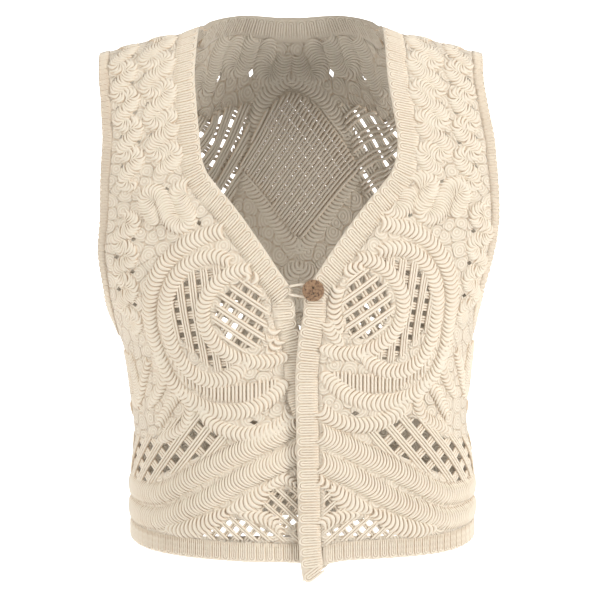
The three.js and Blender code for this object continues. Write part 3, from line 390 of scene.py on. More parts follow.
class Form:
    """One side of the worn form, front or back: a map from the flat chart to the body."""

    PER_SECTION = 20  # rows from one section to the next
    ARCS = 240  # steps of girth from the centre to the side
    REFERENCE = 105  # the girth down which length is measured
    NORMAL_REACH = 1.5  # how far round a point its normal is read
    SIDE_TURN = 4  # where the normal begins to turn straight sideways, before the side
    SIDE_TURNED = 3.5  # the girth over which it does so

    def __init__(self, side, facing):
        self.facing = facing
        index = np.arange(len(SECTIONS))
        level = np.arange(self.PER_SECTION * (len(SECTIONS) - 1) + 1) / self.PER_SECTION
        depth, height, slope, half_width, power = (
            smooth(index, [row[key] for row in SECTIONS])(level)[:, None]
            for key in (side + "_depth", side + "_height", side + "_slope", "half_width", "power"))
        turn = np.linspace(0, math.pi / 2, self.ARCS + 1)[None, :]
        x = half_width * np.sin(turn) ** (2 / power)
        y = facing * depth * np.maximum(np.cos(turn), 0) ** (2 / power)
        y[:, -1] = 0
        z = height - slope * shoulder_fall(x)
        girth = np.concatenate([np.zeros((len(x), 1)),
                                np.cumsum(np.hypot(np.diff(x, axis=1), np.diff(y, axis=1)), axis=1)], axis=1)
        self.side = girth[:, -1]
        even = np.linspace(0, 1, self.ARCS + 1)
        self.table = np.array([[np.interp(even * g[-1], g, values) for values in (a, b, c)]
                               for g, a, b, c in zip(girth, x, y, z)]).transpose(0, 2, 1)
        column_points = np.array([[np.interp(self.REFERENCE, a, values) for values in (a, b, c)]
                                  for a, b, c in zip(x, y, z)])
        self.lengths = run_of(column_points)
        underarm = self.PER_SECTION * [row["at"] for row in SECTIONS].index("underarm")
        self.lengths[:underarm + 1] *= SIDE_TOP / self.lengths[underarm]
        self.lengths[underarm + 1:] = SIDE_TOP + z[underarm, -1] - z[underarm + 1:, -1]

    def place(self, length):
        """The row of the table above a length, and the share of the way to the next."""
        row = np.clip(np.searchsorted(self.lengths, length, side="right") - 1, 0, len(self.lengths) - 2)
        return row, (length - self.lengths[row]) / (self.lengths[row + 1] - self.lengths[row])

    def side_girth(self, length):
        row, share = self.place(np.asarray(length, float))
        return self.side[row] + (self.side[row + 1] - self.side[row]) * share

    def row_point(self, row, girth):
        at = np.clip(np.abs(girth) / self.side[row], 0, 1) * self.ARCS
        low = np.minimum(at.astype(int), self.ARCS - 1)
        share = (at - low)[:, None]
        return self.table[row, low] * (1 - share) + self.table[row, low + 1] * share

    def girth_across(self, length, across):
        """The girth at which the form lies so far across."""
        row = int(self.place(length)[0])
        return float(np.interp(across, self.table[row, :, 0], np.linspace(0, self.side[row], self.ARCS + 1)))

    def ground(self, flat):
        flat = as_points(flat)
        girth, length = flat[:, 0], np.maximum(flat[:, 1], 0)
        row, share = self.place(length)
        above, below = self.row_point(row, girth), self.row_point(row + 1, girth)
        p = above * (1 - share[:, None]) + below * share[:, None]
        p[:, 0] *= np.where(girth < 0, -1, 1)
        return p

    def normal(self, flat):
        flat = as_points(flat)
        girth, length = flat[:, 0], flat[:, 1]
        reach, side = self.NORMAL_REACH, self.side_girth(length)
        west, east = np.maximum(girth - reach, -side), np.minimum(girth + reach, side)
        round_ = self.ground(np.stack([east, length], 1)) - self.ground(np.stack([west, length], 1))
        down = (self.ground(np.stack([girth, length + reach], 1))
                - self.ground(np.stack([girth, np.maximum(length - reach, 0)], 1)))
        out = np.cross(round_, down) * self.facing
        out[:, 1] *= 1 - ease(np.abs(girth) - (side - self.SIDE_TURN), 0, self.SIDE_TURNED)
        return normed(out)


FRONT = Form("front", -1)
BACK = Form("back", 1)


def ease(x, start, stop):
    """A smooth step from 0 at start to 1 at stop."""
    t = np.clip((x - start) / (stop - start), 0, 1)
    return t * t * (3 - 2 * t)


def underlap(flat):
    """How far the under front dips behind the upper one."""
    return UNDERLAP * (1 - ease(flat[:, 0], *UNDERLAP_ACROSS)) * ease(flat[:, 1], *UNDERLAP_DOWN)


def fold_depth(form, flat):
    """How far the soft folds lower the cloth."""
    depth = np.zeros(len(flat))
    for _, girth, length, turn, long, wide, deep in FRONT_FOLDS if form is FRONT else BACK_FOLDS:
        dx, dy = np.abs(flat[:, 0]) - girth, flat[:, 1] - length
        along, across = math.cos(turn), math.sin(turn)
        u, v = (dx * along + dy * across) / long, (dy * along - dx * across) / wide
        depth += deep * np.exp(-u * u - v * v)
    return depth * ease(form.side_girth(flat[:, 1]) - np.abs(flat[:, 0]), 0, FOLD_FROM_SIDE)


class Panel:
    """A piece of the garment: its form, its side and where charted points lie on the worn cloth."""

    def __init__(self, form, mirror=False, under=False):
        self.form, self.mirror, self.under = form, mirror, under

    def worn(self, flat, out=0.0):
        """Points of the worn cloth, in metres, moved out from the ground by out millimetres."""
        flat = as_points(flat)
        out = np.broadcast_to(np.asarray(out, float), (len(flat),)) - fold_depth(self.form, flat)
        if self.under:
            out = out - underlap(flat)
        p = self.form.ground(flat) + self.form.normal(flat) * out[:, None]
        if self.mirror:
            p[:, 0] *= -1
        p[:, 0] += centre_lean(-p[:, 2]) + side_lean(-p[:, 2]) * (p[:, 0] / SIDES) ** 2
        return p * MM

    def up(self, flat):
        normal = self.form.normal(flat)
        if self.mirror:
            normal[:, 0] *= -1
        return normal


LEFT = Panel(FRONT)
RIGHT = Panel(FRONT, mirror=True, under=True)
REAR = Panel(BACK)


# Flat geometry of the chart
CURVE_STEPS = 24  # steps between two points of a route, before they are made even
BESIDE_SHARES = (0.6, 1.1)  # how far a line beside another may be drawn in or out


def even_steps(line, step, least=2):
    """A line resampled at even steps."""
    line = np.asarray(line, float)
    along = run_of(line)
    at = np.linspace(0, along[-1], max(least, round(along[-1] / step)) + 1)
    return np.stack([np.interp(at, along, line[:, k]) for k in range(line.shape[1])], 1)


def closed_steps(polygon, step):
    """A closed line resampled at even steps."""
    return even_steps(np.concatenate([polygon, polygon[:1]]), step)[:-1]


def curve(route, step):
    """A smooth curve through a route's points, at even steps."""
    p = np.asarray(route, float)
    p = np.concatenate([p[:1], p, p[-1:]])
    t = np.linspace(0, 1, CURVE_STEPS, endpoint=False)[:, None]
    parts = []
    for i in range(1, len(p) - 2):
        a, b = (p[i + 1] - p[i - 1]) / 2, (p[i + 2] - p[i]) / 2
        parts.append((2 * t ** 3 - 3 * t ** 2 + 1) * p[i] + (t ** 3 - 2 * t ** 2 + t) * a
                     + (3 * t ** 2 - 2 * t ** 3) * p[i + 1] + (t ** 3 - t ** 2) * b)
    return even_steps(np.concatenate(parts + [p[-1:]]), step)


def sideways(line):
    """The direction square to a line at each of its points."""
    d = heading(line)
    return np.stack([-d[:, 1], d[:, 0]], 1)


def beside(form, line, width):
    """A line beside another, at a true width on the worn cloth."""
    far = line + sideways(line) * width
    worn = np.linalg.norm(form.ground(line) - form.ground(far), axis=1)
    share = np.clip(width / np.maximum(worn, 1e-6), *BESIDE_SHARES)
    return line + (far - line) * share[:, None]


def sides_of(polygon):
    polygon = np.asarray(polygon, float)
    return zip(polygon, np.roll(polygon, -1, axis=0))


def inside(points, polygon):
    """Which points lie inside a polygon."""
    x, y = as_points(points).T
    within = np.zeros(len(x), bool)
    for a, b in sides_of(polygon):
        if a[1] != b[1]:
            within ^= ((a[1] > y) != (b[1] > y)) & (x < (b[0] - a[0]) * (y - a[1]) / (b[1] - a[1]) + a[0])
    return within


def edge_distance(points, polygon):
    """How far points lie from a polygon's edge."""
    points = as_points(points)
    best = np.full(len(points), np.inf)
    for a, b in sides_of(polygon):
        d = b - a
        t = np.clip(((points - a) @ d) / max(d @ d, 1e-9), 0, 1)
        best = np.minimum(best, np.linalg.norm(points - a - t[:, None] * d, axis=1))
    return best


def runs(keep, least):
    """Stretches of a line where keep is true and that have at least so many points."""
    found, start = [], None
    for i, good in enumerate(list(keep) + [False]):
        if good and start is None:
            start = i
        elif not good and start is not None:
            if i - start >= least:
                found.append(slice(start, i))
            start = None
    return found


# The edges of the pieces
EDGE_STEP = 4
ARMHOLE_STEP = 3
NECK_POINTS = 61
SIDE_POINTS = 40
FOOT_POINTS = {"front": 50, "back": 90}


def cut_off(line, level):
    """A line that runs up from the hem, cut off where it crosses a level."""
    over = line[:, 1] - level(line[:, 0])
    first = int(np.argmax(over < 0))
    before = max(first - 1, 0)
    share = over[before] / (over[before] - over[first]) if first else 0
    return np.concatenate([[line[before] + (line[first] - line[before]) * share], line[first:]])


def centre_and_neck(centre):
    """A front's edge, from the hem up its centre and round the neck."""
    upright, neck = (curve([(g, l) for l, g in reversed(table)], EDGE_STEP) for table in (centre, NECK_EDGE))
    return np.concatenate([upright[:-1], neck])


def armhole(form):
    """The armhole's edge, from the shoulder down and round to the side."""
    upright = [(form.girth_across(length, across), length) for length, across in ARMHOLE_EDGE]
    last = upright[-1][0]
    foot = [(last + turn * (float(form.side_girth(length)) - last), length) for length, turn in ARMHOLE_FOOT]
    return curve(upright + foot + [(float(form.side_girth(UNDERARM)), UNDERARM)], ARMHOLE_STEP)


def armhole_line(form, width):
    line = beside(form, armhole(form), width)
    line[-1] = (float(form.side_girth(UNDERARM + width)), UNDERARM + width)
    line[0, 1] = 0
    return line


def neck_line(width):
    """A line round the back neck, so far from its edge."""
    angle = np.linspace(-math.pi / 2, math.pi / 2, NECK_POINTS)
    reach = width * (1 - NECK_NARROWING * np.sin(2 * angle) ** 2)
    down = np.maximum((BACK_NECK_DROP + reach) * np.cos(angle), FOLD_SEAM)
    return np.stack([(NECK_HALF + reach) * np.sin(angle), down], 1)


def outer_edges(form, hem, neck_end):
    """A panel's shoulder, armhole and side, from the neck round to the hem."""
    arm = armhole_line(form, ARMHOLE_BAND)
    arm[0, 1] = FOLD_SEAM
    arm[-1, 0] -= SIDE_SEAM
    foot_length = float(hem(form.side_girth(SIDE_FOOT))) - HEM_BAND
    lengths = np.linspace(arm[-1, 1], foot_length, SIDE_POINTS)[1:]
    side = np.stack([form.side_girth(lengths) - SIDE_SEAM, lengths], 1)
    shoulder = even_steps([neck_end, arm[0]], EDGE_STEP)[:-1]
    return np.concatenate([shoulder, arm, side])


def along_hem(hem, across, above=0):
    """Points so far above a hem line, at these girths."""
    return np.stack([across, hem(across) - above], 1)


def front_lines(centre, hem_table):
    """A front's outer edge, the inner edge of its band and its hem line."""
    edge = centre_and_neck(centre)
    return edge, beside(FRONT, edge, FRONT_BAND), column(hem_table)


def front_outline(inner, hem):
    rise = cut_off(inner, lambda girth: hem(girth) - HEM_BAND)
    rise = rise[rise[:, 1] > FOLD_SEAM + 1]
    outer = outer_edges(FRONT, hem, (inner[-1, 0], FOLD_SEAM))
    across = np.linspace(outer[-1, 0], rise[0, 0], FOOT_POINTS["front"])[1:-1]
    foot = along_hem(hem, across, HEM_BAND)
    return np.concatenate([rise, outer, foot])


def back_outline(hem):
    neck = neck_line(FRONT_BAND)
    half = outer_edges(BACK, hem, neck[-1])
    other = half[::-1] * (-1, 1)
    across = np.linspace(half[-1, 0], other[0, 0], FOOT_POINTS["back"])[1:-1]
    foot = along_hem(hem, across, HEM_BAND)
    return np.concatenate([half, foot, other, neck[1:-1]])


# Meshes
def new_object(name, vertices, faces, material=None, edges=()):
    mesh = bpy.data.meshes.new(name)
    mesh.from_pydata([tuple(v) for v in vertices], edges, [tuple(f) for f in faces])
    mesh.validate()
    mesh.shade_smooth()
    piece = bpy.data.objects.new(name, mesh)
    bpy.context.scene.collection.objects.link(piece)
    if material:
        mesh.materials.append(material)
    return piece


def give_uv(mesh, loops):
    """One UV map from a pair of numbers for each corner of each face."""
    layer = mesh.uv_layers.new(name="UVMap")
    layer.data.foreach_set("uv", np.asarray(loops, dtype=np.float32).ravel())


def note(mesh, label, values):
    """Notes a number or a direction at each vertex."""
    values = np.asarray(values, dtype=np.float32)
    kind, key = ("FLOAT_VECTOR", "vector") if values.ndim > 1 else ("FLOAT", "value")
    mesh.attributes.new(label, kind, "POINT").data.foreach_set(key, values.ravel())


def read_out(data, key, size, dtype=np.float32):
    """The numbers of a mesh's vertices, triangles or attribute, one row each."""
    values = np.empty(len(data) * size, dtype=dtype)
    data.foreach_get(key, values)
    return values.reshape(-1, size)


class Tubes:
    """A mesh of closed cords. Each has a ring at every station, with UVs along and round the cord."""

    def __init__(self, sides=8):
        self.sides, self.vertices, self.faces, self.uvs = sides, [], [], []

    def add(self, path, across, up, half_across, half_up, closed=False, cap=0.55):
        """Adds a cord along path; across and up are its section's axes, half_across and half_up its size."""
        path = np.asarray(path, float)
        across, up = (np.broadcast_to(np.asarray(v, float), path.shape) for v in (across, up))
        count, sides = len(path), self.sides
        ends = np.ones(count)
        if not closed:
            ends[[0, -1]] = cap
        size_a, size_u = np.asarray(half_across, float) * ends, np.asarray(half_up, float) * ends
        angle = np.arange(sides) * 2 * math.pi / sides
        rings = (path[:, None] + across[:, None] * (np.cos(angle)[None, :, None] * size_a[:, None, None])
                 + up[:, None] * (np.sin(angle)[None, :, None] * size_u[:, None, None]))
        start = len(self.vertices)
        self.vertices.extend(rings.reshape(-1, 3))
        along = run_of(path)
        for i in range(count if closed else count - 1):
            ring, after = start + i * sides, start + (i + 1) % count * sides
            u0, u1 = along[i], along[i + 1] if i + 1 < count else along[-1] + along[1]
            for k in range(sides):
                k2 = (k + 1) % sides
                self.faces.append((ring + k, after + k, after + k2, ring + k2))
                self.uvs += [(u0, k / sides), (u1, k / sides), (u1, (k + 1) / sides), (u0, (k + 1) / sides)]
        if not closed:
            first_ring = tuple(start + k for k in range(sides))
            last_ring = tuple(start + (count - 1) * sides + k for k in reversed(range(sides)))
            for ring, u in ((first_ring, 0.0), (last_ring, along[-1])):
                self.faces.append(ring)
                self.uvs += [(u, 0.5)] * sides
        return self

    def build(self, name, material=None):
        """The cords as one piece whose faces look outward."""
        piece = new_object(name, self.vertices, self.faces, material)
        give_uv(piece.data, self.uvs)
        return outward(piece)


def outward(piece):
    """Turns a closed mesh's faces outward if it came out inside out."""
    mesh = piece.data
    mesh.calc_loop_triangles()
    corners = read_out(mesh.vertices, "co", 3, float)
    triangles = read_out(mesh.loop_triangles, "vertices", 3, np.int64)
    a, b, c = (corners[triangles[:, k]] for k in range(3))
    if np.einsum("ij,ij->i", a, np.cross(b, c)).sum() < 0:
        mesh.flip_normals()
    return piece


# Stitches: each is a small piece in millimetres that is set on its route many times over.
# Crescents: half thickness along the tape, half height, bow, crown, and swell past the tape's width.
CRESCENTS = {
    "tape": (2.3, 2.2, 4.2, 0.7, 1),
    "sweep": (1.75, 2.2, 6.5, 1, 1),
    "serpentine": (1.6, 2.1, 3.6, 0.5, 1.18),
}
CRESCENT_STATIONS = 9
CRESCENT_SLIM = 0.15  # how much slimmer a crescent is at its tips than in its middle, as a share
CRESCENT_FALL = 0.42  # how much lower it is there
CRESCENT_ROUND = 0.7  # how fully its crown is rounded; less is fuller
CRESCENT_CAP = 0.5
WEDGE_LIMITS = (0.4, 1.9)  # how far a turn may narrow or widen a crescent
RIB_TALL = 1.5  # half the height of a rib's strand
RIB_STRANDS = 4.2  # strands' room in a rib: four strands and a gap
RIB_STRAND = 0.54  # half a strand's thickness, as a share of its room
RIB_FROM_END = 0.5  # from a band's end to the middle of its first rib, in ribs
STITCH_UNEVEN, RIB_UNEVEN = 0.06, 0.02  # how far a stitch may stand askew, in radians


def make_crescent(name, cord, tall, bow, crown):
    """A tape's crescent stitch, one unit wide; it knows where it lies along and across the tape."""
    t = np.linspace(-1, 1, CRESCENT_STATIONS)
    lift = np.maximum(1 - t * t, 0)
    path = np.stack([bow * (lift - 0.5), 0.5 * t, crown * lift ** CRESCENT_ROUND], 1)
    thick, high = cord * (1 - CRESCENT_SLIM * t * t), tall * (1 - CRESCENT_FALL * t * t)
    stitch = Tubes().add(path, (1, 0, 0), (0, 0, 1), thick, high, cap=CRESCENT_CAP).build(name)
    corners = read_out(stitch.data.vertices, "co", 3)
    note(stitch.data, "along", corners[:, 0])
    note(stitch.data, "aside", corners[:, 1])
    return stitch


def wedge(mesh):
    """Widens each stitch on the outside of its tape's turn and narrows it on the inside."""
    bend, aside, along = (read_out(mesh.attributes[label].data, "value", 1)
                          for label in ("bend", "aside", "along"))
    ahead = read_out(mesh.attributes["ahead"].data, "vector", 3)
    growth = np.clip(1 - bend * aside, *WEDGE_LIMITS) - 1
    moved_on = ahead * along * growth * MM
    mesh.vertices.foreach_set("co", (read_out(mesh.vertices, "co", 3) + moved_on).ravel())


def make_rib(name, width, rib):
    """A band's rib: two nested loops of cord that turn at the band's edge."""
    strand = rib / RIB_STRANDS
    radius = strand * RIB_STRAND
    foot, turn_at = -width / 2, width / 2 - strand * 1.5 - radius
    turn = np.linspace(0, math.pi, 7)
    tubes = Tubes()
    for reach in (1.5 * strand, 0.5 * strand):
        path = [(reach, y, 0.0) for y in np.linspace(foot, turn_at, 4)[:-1]]
        path += [(reach * math.cos(a), turn_at + reach * math.sin(a), 0.0) for a in turn]
        path += [(-reach, y, 0.0) for y in np.linspace(turn_at, foot, 4)[1:]]
        ahead = heading(np.array(path))
        across = np.stack([-ahead[:, 1], ahead[:, 0], ahead[:, 2]], 1)
        tubes.add(path, across, (0, 0, 1), radius, RIB_TALL)
    return tubes.build(name)


# Node trees
class Nodes:
    """Adds nodes to a tree, sets their traits and inputs, and links them."""

    def __init__(self, tree):
        self.tree = tree

    def give(self, node, inputs):
        """Gives each named or numbered input of a node a value, or the output that feeds it."""
        for key, value in inputs.items():
            if isinstance(value, bpy.types.NodeSocket):
                self.tree.links.new(value, node.inputs[key])
            else:
                node.inputs[key].default_value = value

    def add(self, kind, inputs=None, **traits):
        node = self.tree.nodes.new(kind)
        for trait, value in traits.items():
            setattr(node, trait, value)
        self.give(node, inputs or {})
        return node

    def maths(self, operation, *terms):
        return self.add("ShaderNodeMath", dict(enumerate(terms)), operation=operation).outputs[0]

    def total(self, start, *shares):
        """A number plus each value times its share."""
        for value, share in shares:
            start = self.maths("MULTIPLY_ADD", value, share, start)
        return start

    def noise(self, place, scale, detail):
        given = {"Vector": place, "Scale": scale, "Detail": detail}
        return self.add("ShaderNodeTexNoise", given).outputs["Fac"]

    def cells(self, place, scale, randomness, **traits):
        given = {"Vector": place, "Scale": scale, "Randomness": randomness}
        return self.add("ShaderNodeTexVoronoi", given, **traits).outputs["Distance"]

    def ramp(self, value, stops):
        """Colours from (place, colour) stops, read at a value."""
        node = self.add("ShaderNodeValToRGB", {"Fac": value})
        for element, (at, colour) in zip(node.color_ramp.elements, stops):
            element.position, element.color = at, (*colour, 1)
        return node.outputs["Color"]

    def bump(self, height, strength, distance):
        given = {"Height": height, "Strength": strength, "Distance": distance}
        return self.add("ShaderNodeBump", given).outputs["Normal"]

    def with_body_side_shade(self, colour, under):
        """A colour with painted shade: deeper where a value says that it is on the cloth's body side, which
        lies in shade.
        """
        keep = self.maths("MULTIPLY_ADD", under, -BODY_SIDE_SHADE, 1.0)
        return self.add("ShaderNodeVectorMath", {0: colour, "Scale": keep}, operation="SCALE").outputs[0]

    def finish(self, colour, roughness, **inputs):
        """The surface itself; other inputs go by their names with underscores for spaces."""
        named = {key.replace("_", " "): value for key, value in inputs.items()}
        shader = self.tree.nodes["Principled BSDF"]
        self.give(shader, {"Base Color": colour, "Roughness": roughness, **named})


REPEAT = "Repeat a stitch along a route"


def repeat_tree():
    """A Geometry Nodes tree that repeats one stitch at an even pitch along routes drawn as edges."""
    tree = bpy.data.node_groups.new(REPEAT, "GeometryNodeTree")
    for label, kind in (("Route", "Geometry"), ("Stitch", "Object"), ("Pitch", "Float"),
                        ("Unevenness", "Float"), ("Seed", "Int"), ("Yarn", "Material")):
        tree.interface.new_socket(label, in_out="INPUT", socket_type="NodeSocket" + kind)
    tree.interface.new_socket("Stitches", in_out="OUTPUT", socket_type="NodeSocketGeometry")
    nodes = Nodes(tree)
    given = nodes.add("NodeGroupInput").outputs
    route = nodes.add("GeometryNodeMeshToCurve", {"Mesh": given["Route"]}).outputs["Curve"]
    even = nodes.add("GeometryNodeResampleCurve", mode="LENGTH")
    nodes.give(even, {"Curve": route, "Length": given["Pitch"]})
    up, ahead, span = (
        nodes.add("GeometryNodeInputNamedAttribute", {"Name": label}, data_type=kind).outputs["Attribute"]
        for label, kind in (("up", "FLOAT_VECTOR"), ("ahead", "FLOAT_VECTOR"), ("span", "FLOAT")))
    turn = nodes.add("FunctionNodeAxesToRotation", {"Primary Axis": up, "Secondary Axis": ahead},
                     primary_axis="Z", secondary_axis="X")
    chance = nodes.add("FunctionNodeRandomValue", {"Min": -1.0, "Max": 1.0, "Seed": given["Seed"]},
                       data_type="FLOAT").outputs["Value"]
    spin = nodes.add("ShaderNodeCombineXYZ", {"Z": nodes.maths("MULTIPLY", chance, given["Unevenness"])})
    twist = nodes.add("FunctionNodeEulerToRotation", {0: spin.outputs[0]})
    turned = nodes.add("FunctionNodeRotateRotation", {0: turn.outputs[0], 1: twist.outputs[0]},
                       rotation_space="LOCAL")
    size = nodes.add("ShaderNodeCombineXYZ", {"X": MM, "Y": span, "Z": MM})
    stitch = nodes.add("GeometryNodeObjectInfo", {"Object": given["Stitch"]})
    set_on = nodes.add("GeometryNodeInstanceOnPoints", {
        "Points": even.outputs["Curve"], "Instance": stitch.outputs["Geometry"],
        "Rotation": turned.outputs[0], "Scale": size.outputs[0]})
    tone = nodes.add("GeometryNodeStoreNamedAttribute", data_type="FLOAT", domain="INSTANCE")
    nodes.give(tone, {"Name": "tone", "Geometry": set_on.outputs["Instances"], "Value": chance})
    real = nodes.add("GeometryNodeRealizeInstances", {"Geometry": tone.outputs["Geometry"]})
    dyed = nodes.add("GeometryNodeSetMaterial",
                     {"Geometry": real.outputs["Geometry"], "Material": given["Yarn"]})
    nodes.add("NodeGroupOutput", {"Stitches": dyed.outputs["Geometry"]})
    return tree


def as_mesh(piece):
    """Turns what a piece's modifiers make into its plain mesh."""
    graph = bpy.context.evaluated_depsgraph_get()
    mesh = bpy.data.meshes.new_from_object(piece.evaluated_get(graph), preserve_all_data_layers=True,
                                           depsgraph=graph)
    piece.modifiers.clear()
    rough = piece.data
    piece.data = mesh
    bpy.data.meshes.remove(rough)
    mesh.name = piece.name
    return piece


ROUTE_LABELS = ("up", "ahead", "span", "bend")


def set_stitches(name, routes, stitch, pitch, yarn, seed, unevenness=STITCH_UNEVEN):
    """Repeats a stitch along routes; each is (points, up, ahead, span, bend, closed)."""
    vertices, edges, columns = [], [], [[] for _ in ROUTE_LABELS]
    for points, *values, closed in routes:
        start, count = len(vertices), len(points)
        vertices.extend(points)
        for filled, value in zip(columns, values):
            filled.extend(np.broadcast_to(value, (count, *np.shape(value)[1:])))
        edges += [(start + i, start + i + 1) for i in range(count - 1)]
        if closed:
            edges.append((start + count - 1, start))
    piece = new_object(name, vertices, (), edges=edges)
    for label, values in zip(ROUTE_LABELS, columns):
        note(piece.data, label, values)
    modifier = piece.modifiers.new("Stitches", "NODES")
    tree = bpy.data.node_groups.get(REPEAT) or repeat_tree()
    modifier.node_group = tree
    identifier = {item.name: item.identifier for item in tree.interface.items_tree if item.in_out == "INPUT"}
    for label, value in (("Stitch", stitch), ("Pitch", pitch * MM), ("Unevenness", unevenness),
                         ("Seed", seed), ("Yarn", yarn)):
        modifier[identifier[label]] = value
    mesh = as_mesh(piece).data
    if "along" in mesh.attributes:
        wedge(mesh)
    mesh.shade_smooth()
    for label in (*ROUTE_LABELS, "along", "aside"):
        layer = mesh.attributes.get(label)
        if layer:
            mesh.attributes.remove(layer)
    return piece


# Routes of the stitches
TUCK = 3.6  # how far a tape may reach past its panel's edge, under a band
TAPE_STEP = 1.5
LEAST_RUN = 5  # points that a stretch of a tape needs
LEAF = 0.45  # a leaf's width at its tips, as a share of its middle's
LEAF_ROUND = 0.7  # how fully a leaf swells; less is fuller
TIP = 0.72  # any other tape's width at its ends, as a share
TIP_POINTS = 5  # points over which it narrows
BEND_POINTS = 5  # points over which a tape's bend is evened out


def tape_width(name, count, start, stop):
    """A tape's width along a stretch, as a share: leaves swell and other tapes narrow at their own ends."""
    at = np.arange(start, stop)
    if name.endswith("leaf"):
        return LEAF + (1 - LEAF) * np.sin(math.pi * (at + 0.5) / count) ** LEAF_ROUND
    return TIP + (1 - TIP) * np.clip(np.minimum(at, count - 1 - at) / TIP_POINTS, 0, 1)


def bend_of(points, up, ahead, width):
    """How sharply a tape turns towards its left at each point, as a share of its width."""
    turning = np.gradient(ahead, axis=0) / np.linalg.norm(np.gradient(points, axis=0), axis=1)[:, None]
    bend = np.einsum("ij,ij->i", turning, np.cross(up, ahead)) * width * MM
    evening = np.ones(BEND_POINTS) / BEND_POINTS
    return np.convolve(np.pad(bend, BEND_POINTS // 2, mode="edge"), evening, mode="valid")


def tape_routes(panel, tapes, outline, fullness):
    """The stretches of each tape that lie on a panel, as routes for its stitches."""
    routes = []
    for name, width, route in tapes:
        line = curve(route, TAPE_STEP)
        half = sideways(line) * width / 2
        keep = np.ones(len(line), bool)
        for end in (line - half, line + half):
            keep &= inside(end, outline) | (edge_distance(end, outline) < TUCK)
        for part in runs(keep, LEAST_RUN):
            points, up = panel.worn(line[part]), panel.up(line[part])
            ahead = heading(points)
            span = width * fullness * tape_width(name, len(line), part.start, part.stop) * MM
            routes.append((points, up, ahead, span, bend_of(points, up, ahead, width * fullness), False))
    return routes


def band_route(panel, edge, inner):
    """The middle of a band as a route whose stitches point to the band's edge."""
    middle = (np.asarray(edge) + np.asarray(inner)) / 2
    points, up = panel.worn(middle), panel.up(middle)
    ahead = normed(np.cross(panel.worn(edge) - panel.worn(inner), up))
    return points, up, ahead, MM, 0.0, False


# Materials
BODY_SIDE_SHADE = 0.4  # how much painted shade deepens the cloth's tone on its body side, which lies in shade
PLIES = 3
FLANK_SHADE_POWER = 2.5  # how narrow the painted shade line on a cord's flank, in the groove beside its neighbours, is; more is narrower
BODY_SIDE_SHADE_TURN = 1.6  # how quickly the painted shade falls round a cord to its body side
FIBRE = (1400, 3)  # scale and detail of a yarn's fine fibres
CLOUD = (38, 2)  # the same for its soft changes of tone
YARN_TONE = 0.74  # its usual tone; single stitches and clouds add real changes of tone, plies and flanks add painted shade in their grooves
PLY_SHADE_TONE, STITCH_TONE, CLOUD_TONE, FLANK_SHADE_TONE = 0.06, 0.05, 0.24, -0.55
YARN_BUMP = (0.35, 0.0004)  # strength, and depth in metres
GROUND_CELL = 13.0  # size of a rosette in the ground
GROUND_RING = 2.7  # from one of its rows of stitches to the next
GROUND_SEAM = 1.1  # half the width of the valley between rosettes
GROUND_TONE = 0.48  # the ground's usual tone, and the painted shade that its rings and its high places add: darker in the grooves between rows of stitches and in the valleys between rosettes
RING_SHADE_TONE, VALLEY_SHADE_TONE = 0.15, 0.3
GROUND_BUMP = (0.8, 0.001)
SHELL_SCALE = 420  # size of the button's grain and specks; more is finer
SHELL_BUMP = (0.4, 0.0003)


def material_of(name, fill, *given):
    """The material of this name, filled in the first time that it is asked for."""
    material = bpy.data.materials.get(name)
    if not material:
        material = bpy.data.materials.new(name)
        material.use_nodes = True
        fill(Nodes(material.node_tree), *given)
    return material


def spin_yarn(nodes, light, shade, ply_pitch, unit):
    """Soft-spun cotton: twisted plies along the cord, fine fibres, and painted shade, a deeper tone in its
    grooves and on its body side.
    """
    uv = nodes.add("ShaderNodeUVMap", uv_map="UVMap").outputs["UV"]
    along, round_, _ = nodes.add("ShaderNodeSeparateXYZ", {0: uv}).outputs
    place = nodes.add("ShaderNodeTexCoord").outputs["Object"]
    turn = nodes.maths("MULTIPLY", along, 2 * math.pi / (ply_pitch * unit))
    # the ply value deepens the tone between the plies of the twist as painted shade, and also raises the
    # bump
    ply = nodes.maths("SINE", nodes.maths("MULTIPLY_ADD", round_, 2 * math.pi * PLIES, turn))
    fibre, cloud = nodes.noise(place, *FIBRE), nodes.noise(place, *CLOUD)
    tone = nodes.add("ShaderNodeAttribute", attribute_name="tone").outputs["Fac"]
    # painted shade: a darker line on each cord's flanks, in the groove beside its neighbours
    flank_shade = nodes.maths("ABSOLUTE", nodes.maths("COSINE", nodes.maths("MULTIPLY", round_, 2 * math.pi)))
    flank_shade = nodes.maths("POWER", flank_shade, FLANK_SHADE_POWER)
    mixed = nodes.total(YARN_TONE, (ply, PLY_SHADE_TONE), (tone, STITCH_TONE), (cloud, CLOUD_TONE),
                        (flank_shade, FLANK_SHADE_TONE))
    # painted shade on the cord's body side, which lies in shade
    under = nodes.maths("SINE", nodes.maths("MULTIPLY", round_, -2 * math.pi))
    under = nodes.maths("MAXIMUM", nodes.maths("MULTIPLY", under, BODY_SIDE_SHADE_TURN), 0.0)
    under = nodes.maths("MINIMUM", under, 1.0)
    nodes.finish(nodes.with_body_side_shade(nodes.ramp(mixed, [(0.1, shade), (0.8, light)]), under), 0.88,
                 Specular_IOR_Level=0.25, Sheen_Weight=0.25, Sheen_Roughness=0.5,
                 Normal=nodes.bump(nodes.total(fibre, (ply, 0.5)), *YARN_BUMP))


